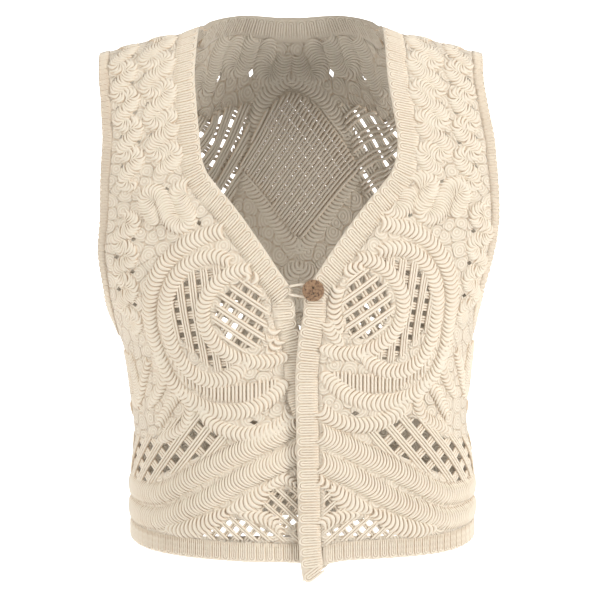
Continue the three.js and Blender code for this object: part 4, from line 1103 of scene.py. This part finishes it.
def knit_ground(nodes, light, shade):
    """The ground under the tapes: rosettes of close stitches with painted shade in their grooves, read from
    the chart in millimetres.
    """
    uv = nodes.add("ShaderNodeUVMap", uv_map="UVMap").outputs["UV"]
    middle, seam = (nodes.cells(uv, 1 / GROUND_CELL, 0.8, voronoi_dimensions="2D", feature=feature)
                    for feature in ("F1", "DISTANCE_TO_EDGE"))
    rings = nodes.maths("SINE", nodes.maths("MULTIPLY", middle, 2 * math.pi * GROUND_CELL / GROUND_RING))
    valley = nodes.maths("MINIMUM", nodes.maths("MULTIPLY", seam, GROUND_CELL / GROUND_SEAM), 1.0)
    # painted shade: darker in the grooves between the rows of stitches and in the valleys between rosettes
    mixed = nodes.total(GROUND_TONE, (rings, RING_SHADE_TONE), (valley, VALLEY_SHADE_TONE))
    # painted shade on the ground's underside, its body side
    under = nodes.add("ShaderNodeAttribute", attribute_name="under").outputs["Fac"]
    nodes.finish(nodes.with_body_side_shade(nodes.ramp(mixed, [(0.1, shade), (0.9, light)]), under), 0.92,
                 Specular_IOR_Level=0.2, Sheen_Weight=0.2,
                 Normal=nodes.bump(nodes.total(valley, (rings, 0.3)), *GROUND_BUMP))


def polish_shell(nodes, light, dark):
    """Polished coconut shell: a mottled brown ground with dark specks and pits."""
    place = nodes.add("ShaderNodeTexCoord").outputs["Object"]
    spot = nodes.ramp(nodes.cells(place, SHELL_SCALE, 1), [(0.16, (0, 0, 0)), (0.34, (1, 1, 1))])
    wood = nodes.ramp(nodes.noise(place, SHELL_SCALE, 6), [(0.35, dark), (0.62, light)])
    mix = nodes.add("ShaderNodeMix", {}, data_type="RGBA", blend_type="MULTIPLY")
    nodes.give(mix, {"Factor": 0.8, "A": wood, "B": spot})
    nodes.finish(mix.outputs["Result"], 0.42, Normal=nodes.bump(spot, *SHELL_BUMP))


def paint_plain(nodes, colour):
    nodes.finish((*colour, 1), 0.95)


# What a user can change
class WaistcoatSettings(bpy.types.PropertyGroup):
    tape_pitch: bpy.props.FloatProperty(
        name="Tape pitch", description="Distance from one crescent stitch to the next, in millimetres",
        default=4.1, min=2, max=6)
    serpentine_pitch: bpy.props.FloatProperty(
        name="Serpentine pitch", description="Stitch distance on the serpentines, in millimetres",
        default=2.5, min=2, max=6)
    sweep_pitch: bpy.props.FloatProperty(
        name="Sweep pitch", description="Stitch distance on the wide hem sweeps, in millimetres",
        default=3.1, min=2, max=6)
    front_rib: bpy.props.FloatProperty(
        name="Front rib", description="Width of one ribbed loop on the front bands, in millimetres",
        default=9.7, min=5, max=15)
    hem_rib: bpy.props.FloatProperty(
        name="Hem rib", description="Width of one ribbed loop on the hem, in millimetres",
        default=7.9, min=4, max=12)
    armhole_rib: bpy.props.FloatProperty(
        name="Armhole rib", description="Width of one ribbed loop on the armhole bands, in millimetres",
        default=5.4, min=3, max=10)
    cream: bpy.props.FloatVectorProperty(
        name="Cream", description="Colour of the yarn", subtype="COLOR", size=3,
        default=(0.93, 0.83, 0.68), min=0, max=1)
    # the dark end of the yarn's tones: it colours real changes of tone and the painted shade in grooves and
    # on the body side
    dark_tone_and_shade: bpy.props.FloatVectorProperty(
        name="Groove", description="Colour of the yarn's deep places", subtype="COLOR", size=3,
        default=(0.62, 0.44, 0.28), min=0, max=1)
    shell_light: bpy.props.FloatVectorProperty(
        name="Shell light", description="Light colour of the coconut button", subtype="COLOR", size=3,
        default=(0.42, 0.26, 0.15), min=0, max=1)
    shell_dark: bpy.props.FloatVectorProperty(
        name="Shell dark", description="Dark colour of the coconut button", subtype="COLOR", size=3,
        default=(0.20, 0.11, 0.06), min=0, max=1)


def settings():
    return bpy.context.scene.waistcoat


def yarn(name="cream cotton cord", ply_pitch=5.0, unit=1.0):
    """A cotton in the chosen colours; unit is a millimetre in the measure of its cords' UVs."""
    return material_of(name, spin_yarn, settings().cream, settings().dark_tone_and_shade, ply_pitch, unit)


def own(piece, slot, *nodes):
    """Says which body a piece rides on and which nodes it stands for, whose parts it hides; slot is not
    used.
    """
    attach(piece, "root")
    if nodes:
        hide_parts(*nodes)
    return piece


def drop(*pieces):
    for piece in pieces:
        mesh = piece.data
        bpy.data.objects.remove(piece)
        bpy.data.meshes.remove(mesh)


LEFT_LINES = front_lines(LEFT_CENTRE_EDGE, LEFT_HEM)
RIGHT_LINES = front_lines(RIGHT_CENTRE_EDGE, RIGHT_HEM)
BACK_HEM_LINE = column(BACK_HEM)
PANELS = {
    "left_front": (LEFT, front_outline(*LEFT_LINES[1:]), *front_charts(LEFT_SHIFT)),
    "right_front": (RIGHT, front_outline(*RIGHT_LINES[1:]), *front_charts(RIGHT_SHIFT)),
    "back": (REAR, back_outline(BACK_HEM_LINE), *back_charts()),
}


def kind_of(tape):
    last_word = tape[0].split()[-1]
    return last_word if last_word in CRESCENTS else "tape"


class WAISTCOAT_OT_tapes(bpy.types.Operator):
    """Work the tapes: rows of crescent stitches along the charted scrolls, sweeps, leaves and serpentines"""

    bl_idname = "waistcoat.tapes"
    bl_label = "Work the tapes"

    def execute(self, context):
        given = settings()
        pitches = {"tape": given.tape_pitch, "sweep": given.sweep_pitch,
                   "serpentine": given.serpentine_pitch}
        stitches = {kind: make_crescent(f"{kind}_crescent", *sizes[:4])
                    for kind, sizes in CRESCENTS.items()}
        for seed, (name, (panel, outline, tapes, _, _)) in enumerate(PANELS.items()):
            for kind, stitch in stitches.items():
                group = [tape for tape in tapes if kind_of(tape) == kind]
                routes = tape_routes(panel, group, outline, CRESCENTS[kind][4])
                own(set_stitches(f"{name}_{kind}s", routes, stitch, pitches[kind], yarn(), seed), "lace")
        drop(*stitches.values())
        return {"FINISHED"}


LATTICE_LEVELS = (0.1, -1.5)  # how far the upper and the lower bars lie out from the ground
LATTICE_STEP = 2.6
LATTICE_OVER = 3.5  # how far bars may reach past their window
LATTICE_CORD = 0.53  # half a cord's width, as a share of its room in the bar
LATTICE_HIGH = 1.05  # its height, as a share of its width
LATTICE_RUN = 3  # points that a stretch of a cord needs


def lattice(tubes, panel, outline, window):
    """Bars of cords across a window: one way lies on top, the other crosses beneath it."""
    name, pitch, gap, angle, polygon = window
    cords = CORDS.get(name, USUAL_CORDS)
    layers = list(zip((angle, angle + DOWN), LATTICE_LEVELS))[:1 if name == RIB_FILL[0] else 2]
    polygon = np.asarray(polygon, float)
    centre = polygon.mean(axis=0)
    spacing = (pitch - gap) / cords
    size = spacing * LATTICE_CORD * MM
    reach = np.abs(polygon - centre).max() * 1.5
    steps = np.arange(-reach, reach, LATTICE_STEP)
    most = int(reach / pitch) + 1
    shifts = [(bar + 0.5) * pitch + (cord - (cords - 1) / 2) * spacing
              for bar in range(-most, most + 1) for cord in range(cords)]
    for turn, level in layers:
        along = np.array((math.cos(turn), math.sin(turn)))
        across = np.array((-along[1], along[0]))
        for shift in shifts:
            line = centre + across * shift + along * steps[:, None]
            near = inside(line, polygon) | (edge_distance(line, polygon) < LATTICE_OVER)
            for part in runs(near & inside(line, outline), LATTICE_RUN):
                points, up = panel.worn(line[part], level), panel.up(line[part])
                side = normed(np.cross(up, np.gradient(points, axis=0)))
                tubes.add(points, side, up, size, size * LATTICE_HIGH)


class WAISTCOAT_OT_lattice(bpy.types.Operator):
    """Weave the open lattice bars across each window of the lace"""

    bl_idname = "waistcoat.lattice"
    bl_label = "Weave the lattice"

    def execute(self, context):
        for name, (panel, outline, _, windows, _) in PANELS.items():
            tubes = Tubes(6)
            for window in windows:
                lattice(tubes, panel, outline, window)
            own(tubes.build(f"{name}_lattice", yarn("lattice cord", unit=MM)), "lace")
        return {"FINISHED"}


CORE_COLUMNS = 5  # rows of corners across a band's core
CORE_LIFT = -0.1
CORE_THICK = 0.5
CORE_FACE, CORE_BACK = (0.0, 0.14), (0.0, 0.86)  # where the core reads the cord's tones; its back reads the painted shade of a cord's body side


def band_core(rows, closed):
    """The thin cloth inside a ribbed band, as a closed strip; each row is (panel, edge, inner)."""
    shares = np.linspace(0, 1, CORE_COLUMNS)
    columns = []
    for out, order in ((CORE_THICK / 2, shares), (-CORE_THICK / 2, shares[::-1])):
        for share in order:
            columns.append(np.concatenate([panel.worn(edge + (inner - edge) * share, CORE_LIFT + out)
                                           for panel, edge, inner in rows]))
    vertices = np.stack(columns, 1).reshape(-1, 3)
    count, ring = len(columns[0]), len(columns)
    faces, uvs = [], []
    for i in range(count if closed else count - 1):
        j = (i + 1) % count
        for k in range(ring):
            faces.append((ring * i + k, ring * i + (k + 1) % ring, ring * j + (k + 1) % ring, ring * j + k))
            uvs += [CORE_FACE if k < CORE_COLUMNS else CORE_BACK] * 4
    if not closed:
        faces += [tuple(reversed(range(ring))), tuple(ring * (count - 1) + k for k in range(ring))]
        uvs += [CORE_FACE] * 2 * ring
    return vertices, faces, uvs


BAND_ABOVE_HEM = 0.5  # how far above the hem line a front band's next corner lies at least
HEM_FROM_BAND = 0.3  # from the front band's inner edge to the hem band
HEM_POINTS = 60  # corners along a front's hem band; the back's has twice as many


def shortened(route, first, last):
    """A route without a stretch next to its first end and its last."""
    at = run_of(route[0])
    keep = (at >= first) & (at <= at[-1] - last)
    return (*(part[keep] for part in route[:3]), *route[3:])


def join(name, *pieces):
    """Joins pieces into the first one, by Blender's own join."""
    first = pieces[0]
    with bpy.context.temp_override(active_object=first, selected_editable_objects=list(pieces)):
        bpy.ops.object.join()
    first.name = name
    first.data.name = name
    return first


def band_piece(name, rows, rib, pitch, seed, closed=False, foot=RIB_FROM_END):
    """A ribbed band: its core and its ribs in one mesh."""
    routes = [band_route(*row) for row in rows]
    if closed:
        joined = [np.concatenate([route[k] for route in routes]) for k in range(3)]
        routes = [(*joined, MM, 0.0, True)]
    else:
        routes = [shortened(route, pitch * MM * foot, pitch * MM * RIB_FROM_END) for route in routes]
    ribs = set_stitches(f"{name}_band_ribs", routes, rib, pitch, yarn(), seed, RIB_UNEVEN)
    vertices, faces, uvs = band_core(rows, closed)
    core = new_object(f"{name}_core", vertices, faces, yarn())
    give_uv(core.data, uvs)
    return own(join(f"{name}_ribs", ribs, outward(core)), "band", f"{name}_band")


def hem_row(panel, hem, across):
    """A hem band's panel, edge and inner edge."""
    return panel, along_hem(hem, across), along_hem(hem, across, HEM_BAND)


class WAISTCOAT_OT_bands(bpy.types.Operator):
    """Work the ribbed bands of the fronts, neck, armholes and hem"""

    bl_idname = "waistcoat.bands"
    bl_label = "Work the bands"

    def execute(self, context):
        given = settings()
        front_rib = make_rib("front_rib", FRONT_BAND, given.front_rib)
        hem_rib = make_rib("hem_rib", HEM_BAND, given.hem_rib)
        arm_rib = make_rib("armhole_rib", ARMHOLE_BAND, given.armhole_rib)
        for seed, (side, panel, (edge, inner, hem)) in enumerate(
                (("left", LEFT, LEFT_LINES), ("right", RIGHT, RIGHT_LINES))):
            over = np.maximum(edge[:, 1] - hem(edge[:, 0]), inner[:, 1] - hem(inner[:, 0]))
            keep = (over < -BAND_ABOVE_HEM) & (edge[:, 1] > FOLD_SEAM)
            outer, core = (np.concatenate([cut_off(line, hem)[:1], line[keep]]) for line in (edge, inner))
            band_piece(f"{side}_front", [(panel, outer, core)], front_rib, given.front_rib, seed, foot=0)
            seam = cut_off(inner, lambda girth: hem(girth) - HEM_BAND / 2)[0, 0]
            side_end = float(FRONT.side_girth(SIDE_FOOT)) - SIDE_SEAM
            across = np.linspace(seam + HEM_FROM_BAND, side_end, HEM_POINTS)
            band_piece(f"{side}_hem", [hem_row(panel, hem, across)], hem_rib, given.hem_rib, seed + 10)
        end = float(BACK.side_girth(SIDE_FOOT)) - SIDE_SEAM
        back_hem = hem_row(REAR, BACK_HEM_LINE, np.linspace(-end, end, 2 * HEM_POINTS))
        band_piece("back_hem", [back_hem], hem_rib, given.hem_rib, 20)
        back_neck = (REAR, neck_line(0), neck_line(FRONT_BAND))
        band_piece("back_neck", [back_neck], front_rib, given.front_rib, 21)
        for side, mirror in (("left", False), ("right", True)):
            front, back = ([armhole_line(form, width) for width in (0, ARMHOLE_BAND)]
                           for form in (FRONT, BACK))
            rows = [(Panel(FRONT, mirror), *front),
                    (Panel(BACK, mirror), *(line[::-1][1:-1] for line in back))]
            band_piece(f"{side}_armhole", rows, arm_rib, given.armhole_rib, 22, closed=True)
        drop(front_rib, hem_rib, arm_rib)
        return {"FINISHED"}


# The button, in millimetres from its middle on the cloth: across, up the body and out of the cloth.
BUTTON_AT = (12.4, 260.5)
BUTTON_LIFT = 4.4
BUTTON_PROFILE = [  # radius, height above the button's foot
    (0, 2.6), (3, 2.6), (6.6, 2.75), (8, 3.2), (9, 3.1), (9.6, 2.2), (9.6, 1), (9, 0.15), (7.5, 0), (0, 0),
]
DRILL_PROFILE = [(0, 6), (1.15, 6), (1.15, -3), (0, -3)]
HOLE_SHIFT = 2.6  # from the button's middle to each of its holes
SHARP_ANGLE = math.radians(40)
THREAD_ROUTE = [
    (0, 2.6, BUTTON_LIFT + 1.2), (0, 2.6, BUTTON_LIFT - 0.4), (0, 0.78, 1.4), (0, -0.78, 1.4),
    (0, -2.6, BUTTON_LIFT - 0.4), (0, -2.6, BUTTON_LIFT + 1.2),
]
LOOP_ROUTE = [
    (-21, -3.4, 2.6), (-14, -4.6, 3.0), (-3, -5.4, 3.1), (3.6, -3.6, 3.1), (5.2, 0, 3.1),
    (3.6, 3.6, 3.1), (-3, 5.4, 3.1), (-14, 4.6, 3.0), (-21, 3.4, 2.6),
]


def button_frame():
    """The button's place and its axes: across, up the body and out of the cloth."""
    place = Vector(LEFT.worn([BUTTON_AT])[0])
    out = Vector(LEFT.up(np.array([BUTTON_AT], float))[0])
    across = Vector((1, 0, 0)) - out * out.x
    across.normalize()
    return place, across, out.cross(across), out


def turned_disc(name, profile, material, segments=48):
    """A lathed disc from (radius, height) points, whose first and last lie on the axis."""
    place, across, up, out = button_frame()
    rim, rings = profile[1:-1], len(profile) - 2
    vertices = [place + (across * math.cos(a) * radius + up * math.sin(a) * radius
                         + out * (BUTTON_LIFT + height)) * MM
                for radius, height in rim for a in np.arange(segments) * 2 * math.pi / segments]
    vertices += [place + out * (BUTTON_LIFT + height) * MM for _, height in (profile[0], profile[-1])]
    top, foot, last = len(vertices) - 2, len(vertices) - 1, (rings - 1) * segments
    faces = []
    for step in range(segments):
        after = (step + 1) % segments
        faces += [(top, after, step), (foot, last + step, last + after)]
        faces += [(ring + step, ring + after, ring + segments + after, ring + segments + step)
                  for ring in range(0, last, segments)]
    return outward(new_object(name, vertices, faces, material))


def cord_along(name, route, step, radius, material, sides=8):
    """A round cord along a route in the button's frame, in millimetres."""
    place, across, up, out = button_frame()
    world = np.array([place + (across * x + up * y + out * z) * MM for x, y, z in curve(route, step)])
    ahead = heading(world)
    side = np.cross(np.array(out), ahead)
    side[np.linalg.norm(side, axis=1) < 0.2] = np.array(across)
    side = normed(side)
    tubes = Tubes(sides).add(world, side, np.cross(ahead, side), radius * MM, radius * MM)
    return tubes.build(name, material)


class WAISTCOAT_OT_button(bpy.types.Operator):
    """Make the coconut button, its thread and the cord loop that it is fastened with"""

    bl_idname = "waistcoat.button"
    bl_label = "Sew on the button"

    def execute(self, context):
        shell = material_of("coconut shell", polish_shell, settings().shell_light, settings().shell_dark)
        disc = turned_disc("coconut_button", BUTTON_PROFILE, shell)
        up = button_frame()[2]
        for side in (-1, 1):
            drill = turned_disc("drill", DRILL_PROFILE, shell, segments=20)
            drill.data.transform(Matrix.Translation(up * side * HOLE_SHIFT * MM))
            cut = disc.modifiers.new("Hole", "BOOLEAN")
            cut.operation, cut.object, cut.solver = "DIFFERENCE", drill, "EXACT"
            as_mesh(disc)
            drop(drill)
        disc.data.shade_smooth()
        disc.data.set_sharp_from_angle(angle=SHARP_ANGLE)
        own(disc, "button", "button")
        thread = yarn("button thread", 1.6, MM)
        own(cord_along("button_thread", THREAD_ROUTE, 0.7, 0.6, thread, sides=6), "cord")
        cord = yarn("loop cord", 3.2, MM)
        own(cord_along("button_loop_cord", LOOP_ROUTE, 1.4, 1.25, cord), "cord", "button_loop")
        return {"FINISHED"}


GROUND_STEP = 4.0  # how far apart the ground's corners lie
GROUND_TOP = 0.4
GROUND_WALL = 0.6
WINDOW_SHARE = 0.97  # how much of a window is left open
HOLE_CLEAR = 2.5  # what an opening keeps from the panel's edge
HOLE_CORNERS = 6  # corners that must be left of a window for it to be opened
GRID_CLEAR = 2  # what inner corners keep from every edge


def hole_corners(hole):
    """The four corners of a single hole."""
    girth, length, long, wide, turn = hole
    along = np.array((math.cos(turn), math.sin(turn)))
    across = np.array((-along[1], along[0]))
    half = np.array([along * long, across * wide]) / 2
    return np.array((girth, length)) + np.concatenate([half, -half])


def openings(outline, windows, single):
    """The outlines of the lattice windows and single holes that lie clear of a panel's edge."""
    holes = []
    for *_, polygon in windows:
        closed = closed_steps(np.asarray(polygon, float), GROUND_STEP)
        closed = closed.mean(axis=0) + (closed - closed.mean(axis=0)) * WINDOW_SHARE
        fits = inside(closed, outline) & (edge_distance(closed, outline) > HOLE_CLEAR)
        if fits.sum() >= HOLE_CORNERS:
            holes.append(closed[fits])
    for corners in map(hole_corners, single):
        clear = inside(corners, outline).all() and edge_distance(corners, outline).min() > HOLE_CLEAR
        if clear and not any(inside(corners, hole).any() for hole in holes):
            holes.append(corners)
    return holes


def triangles(outline, holes):
    """A panel's flat cloth as triangles on the chart: their corners and their faces."""
    rim = closed_steps(outline, GROUND_STEP)
    low, high = outline.min(axis=0), outline.max(axis=0)
    xs, ys = np.arange(low[0], high[0], GROUND_STEP), np.arange(low[1], high[1], GROUND_STEP)
    grid = np.array([(x, y) for y in ys for x in xs])
    keep = inside(grid, outline) & (edge_distance(grid, outline) > GRID_CLEAR)
    for hole in holes:
        keep &= ~inside(grid, hole) & (edge_distance(grid, hole) > GRID_CLEAR)
    points, edges = [], []
    for line in (rim, *holes):
        start, count = len(points), len(line)
        points += [Vector(p) for p in line]
        edges += [(start + i, start + (i + 1) % count) for i in range(count)]
    points += [Vector(p) for p in grid[keep]]
    found = delaunay_2d_cdt(points, edges, [], 0, 1e-4)
    flat = np.array([tuple(v) for v in found[0]])
    faces = np.array([face for face in found[2] if len(face) == 3])
    middles = flat[faces].mean(axis=1)
    keep = inside(middles, outline)
    for hole in holes:
        keep &= ~inside(middles, hole)
    used, faces = np.unique(faces[keep], return_inverse=True)
    return flat[used], faces.reshape(-1, 3)


def rim_edges(faces):
    """The edges that only one triangle has."""
    edges = {}
    for a, b, c in faces:
        for edge in ((a, b), (b, c), (c, a)):
            if edges.pop(edge[::-1], None) is None:
                edges[edge] = True
    return list(edges)


def area_of(flat, faces):
    """The charted area of triangles, in square metres."""
    b, c = (flat[faces[:, k]] - flat[faces[:, 0]] for k in (1, 2))
    return abs(float((b[:, 0] * c[:, 1] - b[:, 1] * c[:, 0]).sum())) / 2 * MM * MM


def ground_piece(name, panel, outline, windows, single):
    """The thin ground cloth of a panel, open where the lattice windows and the single holes are."""
    flat, faces = triangles(outline, openings(outline, windows, single))
    count = len(flat)
    vertices = np.concatenate([panel.worn(flat, GROUND_TOP), panel.worn(flat, GROUND_TOP - GROUND_WALL)])
    shell = [tuple(face) for face in faces] + [tuple(face[::-1] + count) for face in faces]
    shell += [(b, a, a + count, b + count) for a, b in rim_edges(faces)]
    cloth = material_of("knitted ground", knit_ground, settings().cream, settings().dark_tone_and_shade)
    piece = new_object(name, vertices, shell, cloth)
    give_uv(piece.data, [flat[corner % count] for face in shell for corner in face])
    # the underside is marked to take painted shade
    note(piece.data, "under", np.repeat([0, 1], count))
    return outward(piece), area_of(flat, faces)


class WAISTCOAT_OT_ground(bpy.types.Operator):
    """Lay the thin ground cloth of the fronts and the back"""

    bl_idname = "waistcoat.ground"
    bl_label = "Lay the ground cloth"

    def execute(self, context):
        for name, (panel, outline, _, windows, holes) in PANELS.items():
            piece, area = ground_piece(f"{name}_ground", panel, outline, windows, holes)
            own(piece, "lace", name)
        return {"FINISHED"}


# The photo's view: its size, millimetres per pixel, and where the neck's middle stands in it.
PHOTO_SIZE = 600
MM_PER_PIXEL = 0.92
NECK_PIXEL = (291, 27)
CAMERA_DISTANCE = 2.2
CAMERA_RISE = math.radians(4)
SENSOR = 36

# The stage, in metres: a floor that curves up into a backdrop.
FLOOR_DROP = 1.15  # from the frame's origin down to the floor
FLOOR_REACH = 6.0  # how far it reaches to the front and to each side
CURVE_FROM = 1.6
CURVE_RADIUS = 1.2
BACKDROP_TOP = 5.0
STUDIO_WHITE = (0.93, 0.93, 0.93)
SKY_STRENGTH = 0.52
BODY_MIDDLE = (0, 0, -0.27)

# Lights: name, place, aim, size, power in watts and spread in degrees.
LIGHTS = [
    ("left light", (-2.5, -1.5, 0.45), BODY_MIDDLE, 1.0, 3.1, 50),
    ("right light", (2.5, -1.5, 0.55), BODY_MIDDLE, 1.0, 5.2, 50),
    ("low light", (0, 0, -1.05), (0, 0.02, -0.3), 0.4, 0.6, 60),
    ("backdrop light", (0, 0.9, 1.9), (0, 2.8, 0.2), 2.2, 60, 80),
]


def area_light(name, place, aim, size, power, spread):
    light = bpy.data.lights.new(name, "AREA")
    light.shape, light.size, light.energy, light.spread = "SQUARE", size, power, math.radians(spread)
    lamp = bpy.data.objects.new(name, light)
    lamp.location = place
    lamp.rotation_euler = (Vector(aim) - Vector(place)).to_track_quat("-Z", "Y").to_euler()
    bpy.context.scene.collection.objects.link(lamp)


class WAISTCOAT_OT_stage(bpy.types.Operator):
    """Set a plain pale floor and backdrop, soft studio light and the camera"""

    bl_idname = "waistcoat.stage"
    bl_label = "Set the stage"

    def execute(self, context):
        half = PHOTO_SIZE / 2
        pixel = MM_PER_PIXEL * MM
        aim = Vector(((half - NECK_PIXEL[0]) * pixel, 0, -(half - NECK_PIXEL[1]) * pixel))
        camera = bpy.data.cameras.new("camera")
        camera.sensor_width = SENSOR
        camera.lens = SENSOR * CAMERA_DISTANCE / (PHOTO_SIZE * pixel)
        eye = bpy.data.objects.new("camera", camera)
        eye.location = aim + Vector((0, -math.cos(CAMERA_RISE), math.sin(CAMERA_RISE))) * CAMERA_DISTANCE
        eye.rotation_euler = (math.pi / 2 - CAMERA_RISE, 0, 0)
        context.scene.collection.objects.link(eye)
        context.scene.camera = eye
        profile = [(-FLOOR_REACH, 0.0), (CURVE_FROM, 0.0)]
        profile += [(CURVE_FROM + CURVE_RADIUS * math.sin(a), CURVE_RADIUS * (1 - math.cos(a)))
                    for a in np.linspace(0.1, math.pi / 2, 12)]
        profile.append((CURVE_FROM + CURVE_RADIUS, BACKDROP_TOP))
        vertices = [(x, y, z - FLOOR_DROP) for y, z in profile for x in (-FLOOR_REACH, FLOOR_REACH)]
        faces = [(2 * i, 2 * i + 1, 2 * i + 3, 2 * i + 2) for i in range(len(profile) - 1)]
        floor = new_object("studio_floor", vertices, faces,
                           material_of("studio white", paint_plain, STUDIO_WHITE))
        world = bpy.data.worlds.new("studio")
        world.use_nodes = True
        sky = world.node_tree.nodes["Background"]
        sky.inputs["Color"].default_value = (1, 1, 1, 1)
        sky.inputs["Strength"].default_value = SKY_STRENGTH
        context.scene.world = world
        context.scene.view_settings.view_transform = "Standard"
        for light in LIGHTS:
            area_light(*light)
        return {"FINISHED"}


class WAISTCOAT_PT_panel(bpy.types.Panel):
    bl_label = "Tape Lace Waistcoat"
    bl_idname = "WAISTCOAT_PT_panel"
    bl_space_type = "VIEW_3D"
    bl_region_type = "UI"
    bl_category = "Waistcoat"

    def draw(self, context):
        for step in STEPS:
            self.layout.operator(step.bl_idname)
        for name in WaistcoatSettings.__annotations__:
            self.layout.prop(context.scene.waistcoat, name)


STEPS = (WAISTCOAT_OT_tapes, WAISTCOAT_OT_lattice, WAISTCOAT_OT_bands, WAISTCOAT_OT_button,
         WAISTCOAT_OT_ground, WAISTCOAT_OT_stage)
CLASSES = (WaistcoatSettings, *STEPS, WAISTCOAT_PT_panel)


def register():
    for cls in CLASSES:
        bpy.utils.register_class(cls)
    bpy.types.Scene.waistcoat = bpy.props.PointerProperty(type=WaistcoatSettings)


def unregister():
    del bpy.types.Scene.waistcoat
    for cls in reversed(CLASSES):
        bpy.utils.unregister_class(cls)


def main():
    register()
    bpy.ops.waistcoat.tapes()
    bpy.ops.waistcoat.lattice()
    bpy.ops.waistcoat.bands()
    bpy.ops.waistcoat.button()
    bpy.ops.waistcoat.ground()
    bpy.ops.waistcoat.stage()


if __name__ == "__main__":
    main()
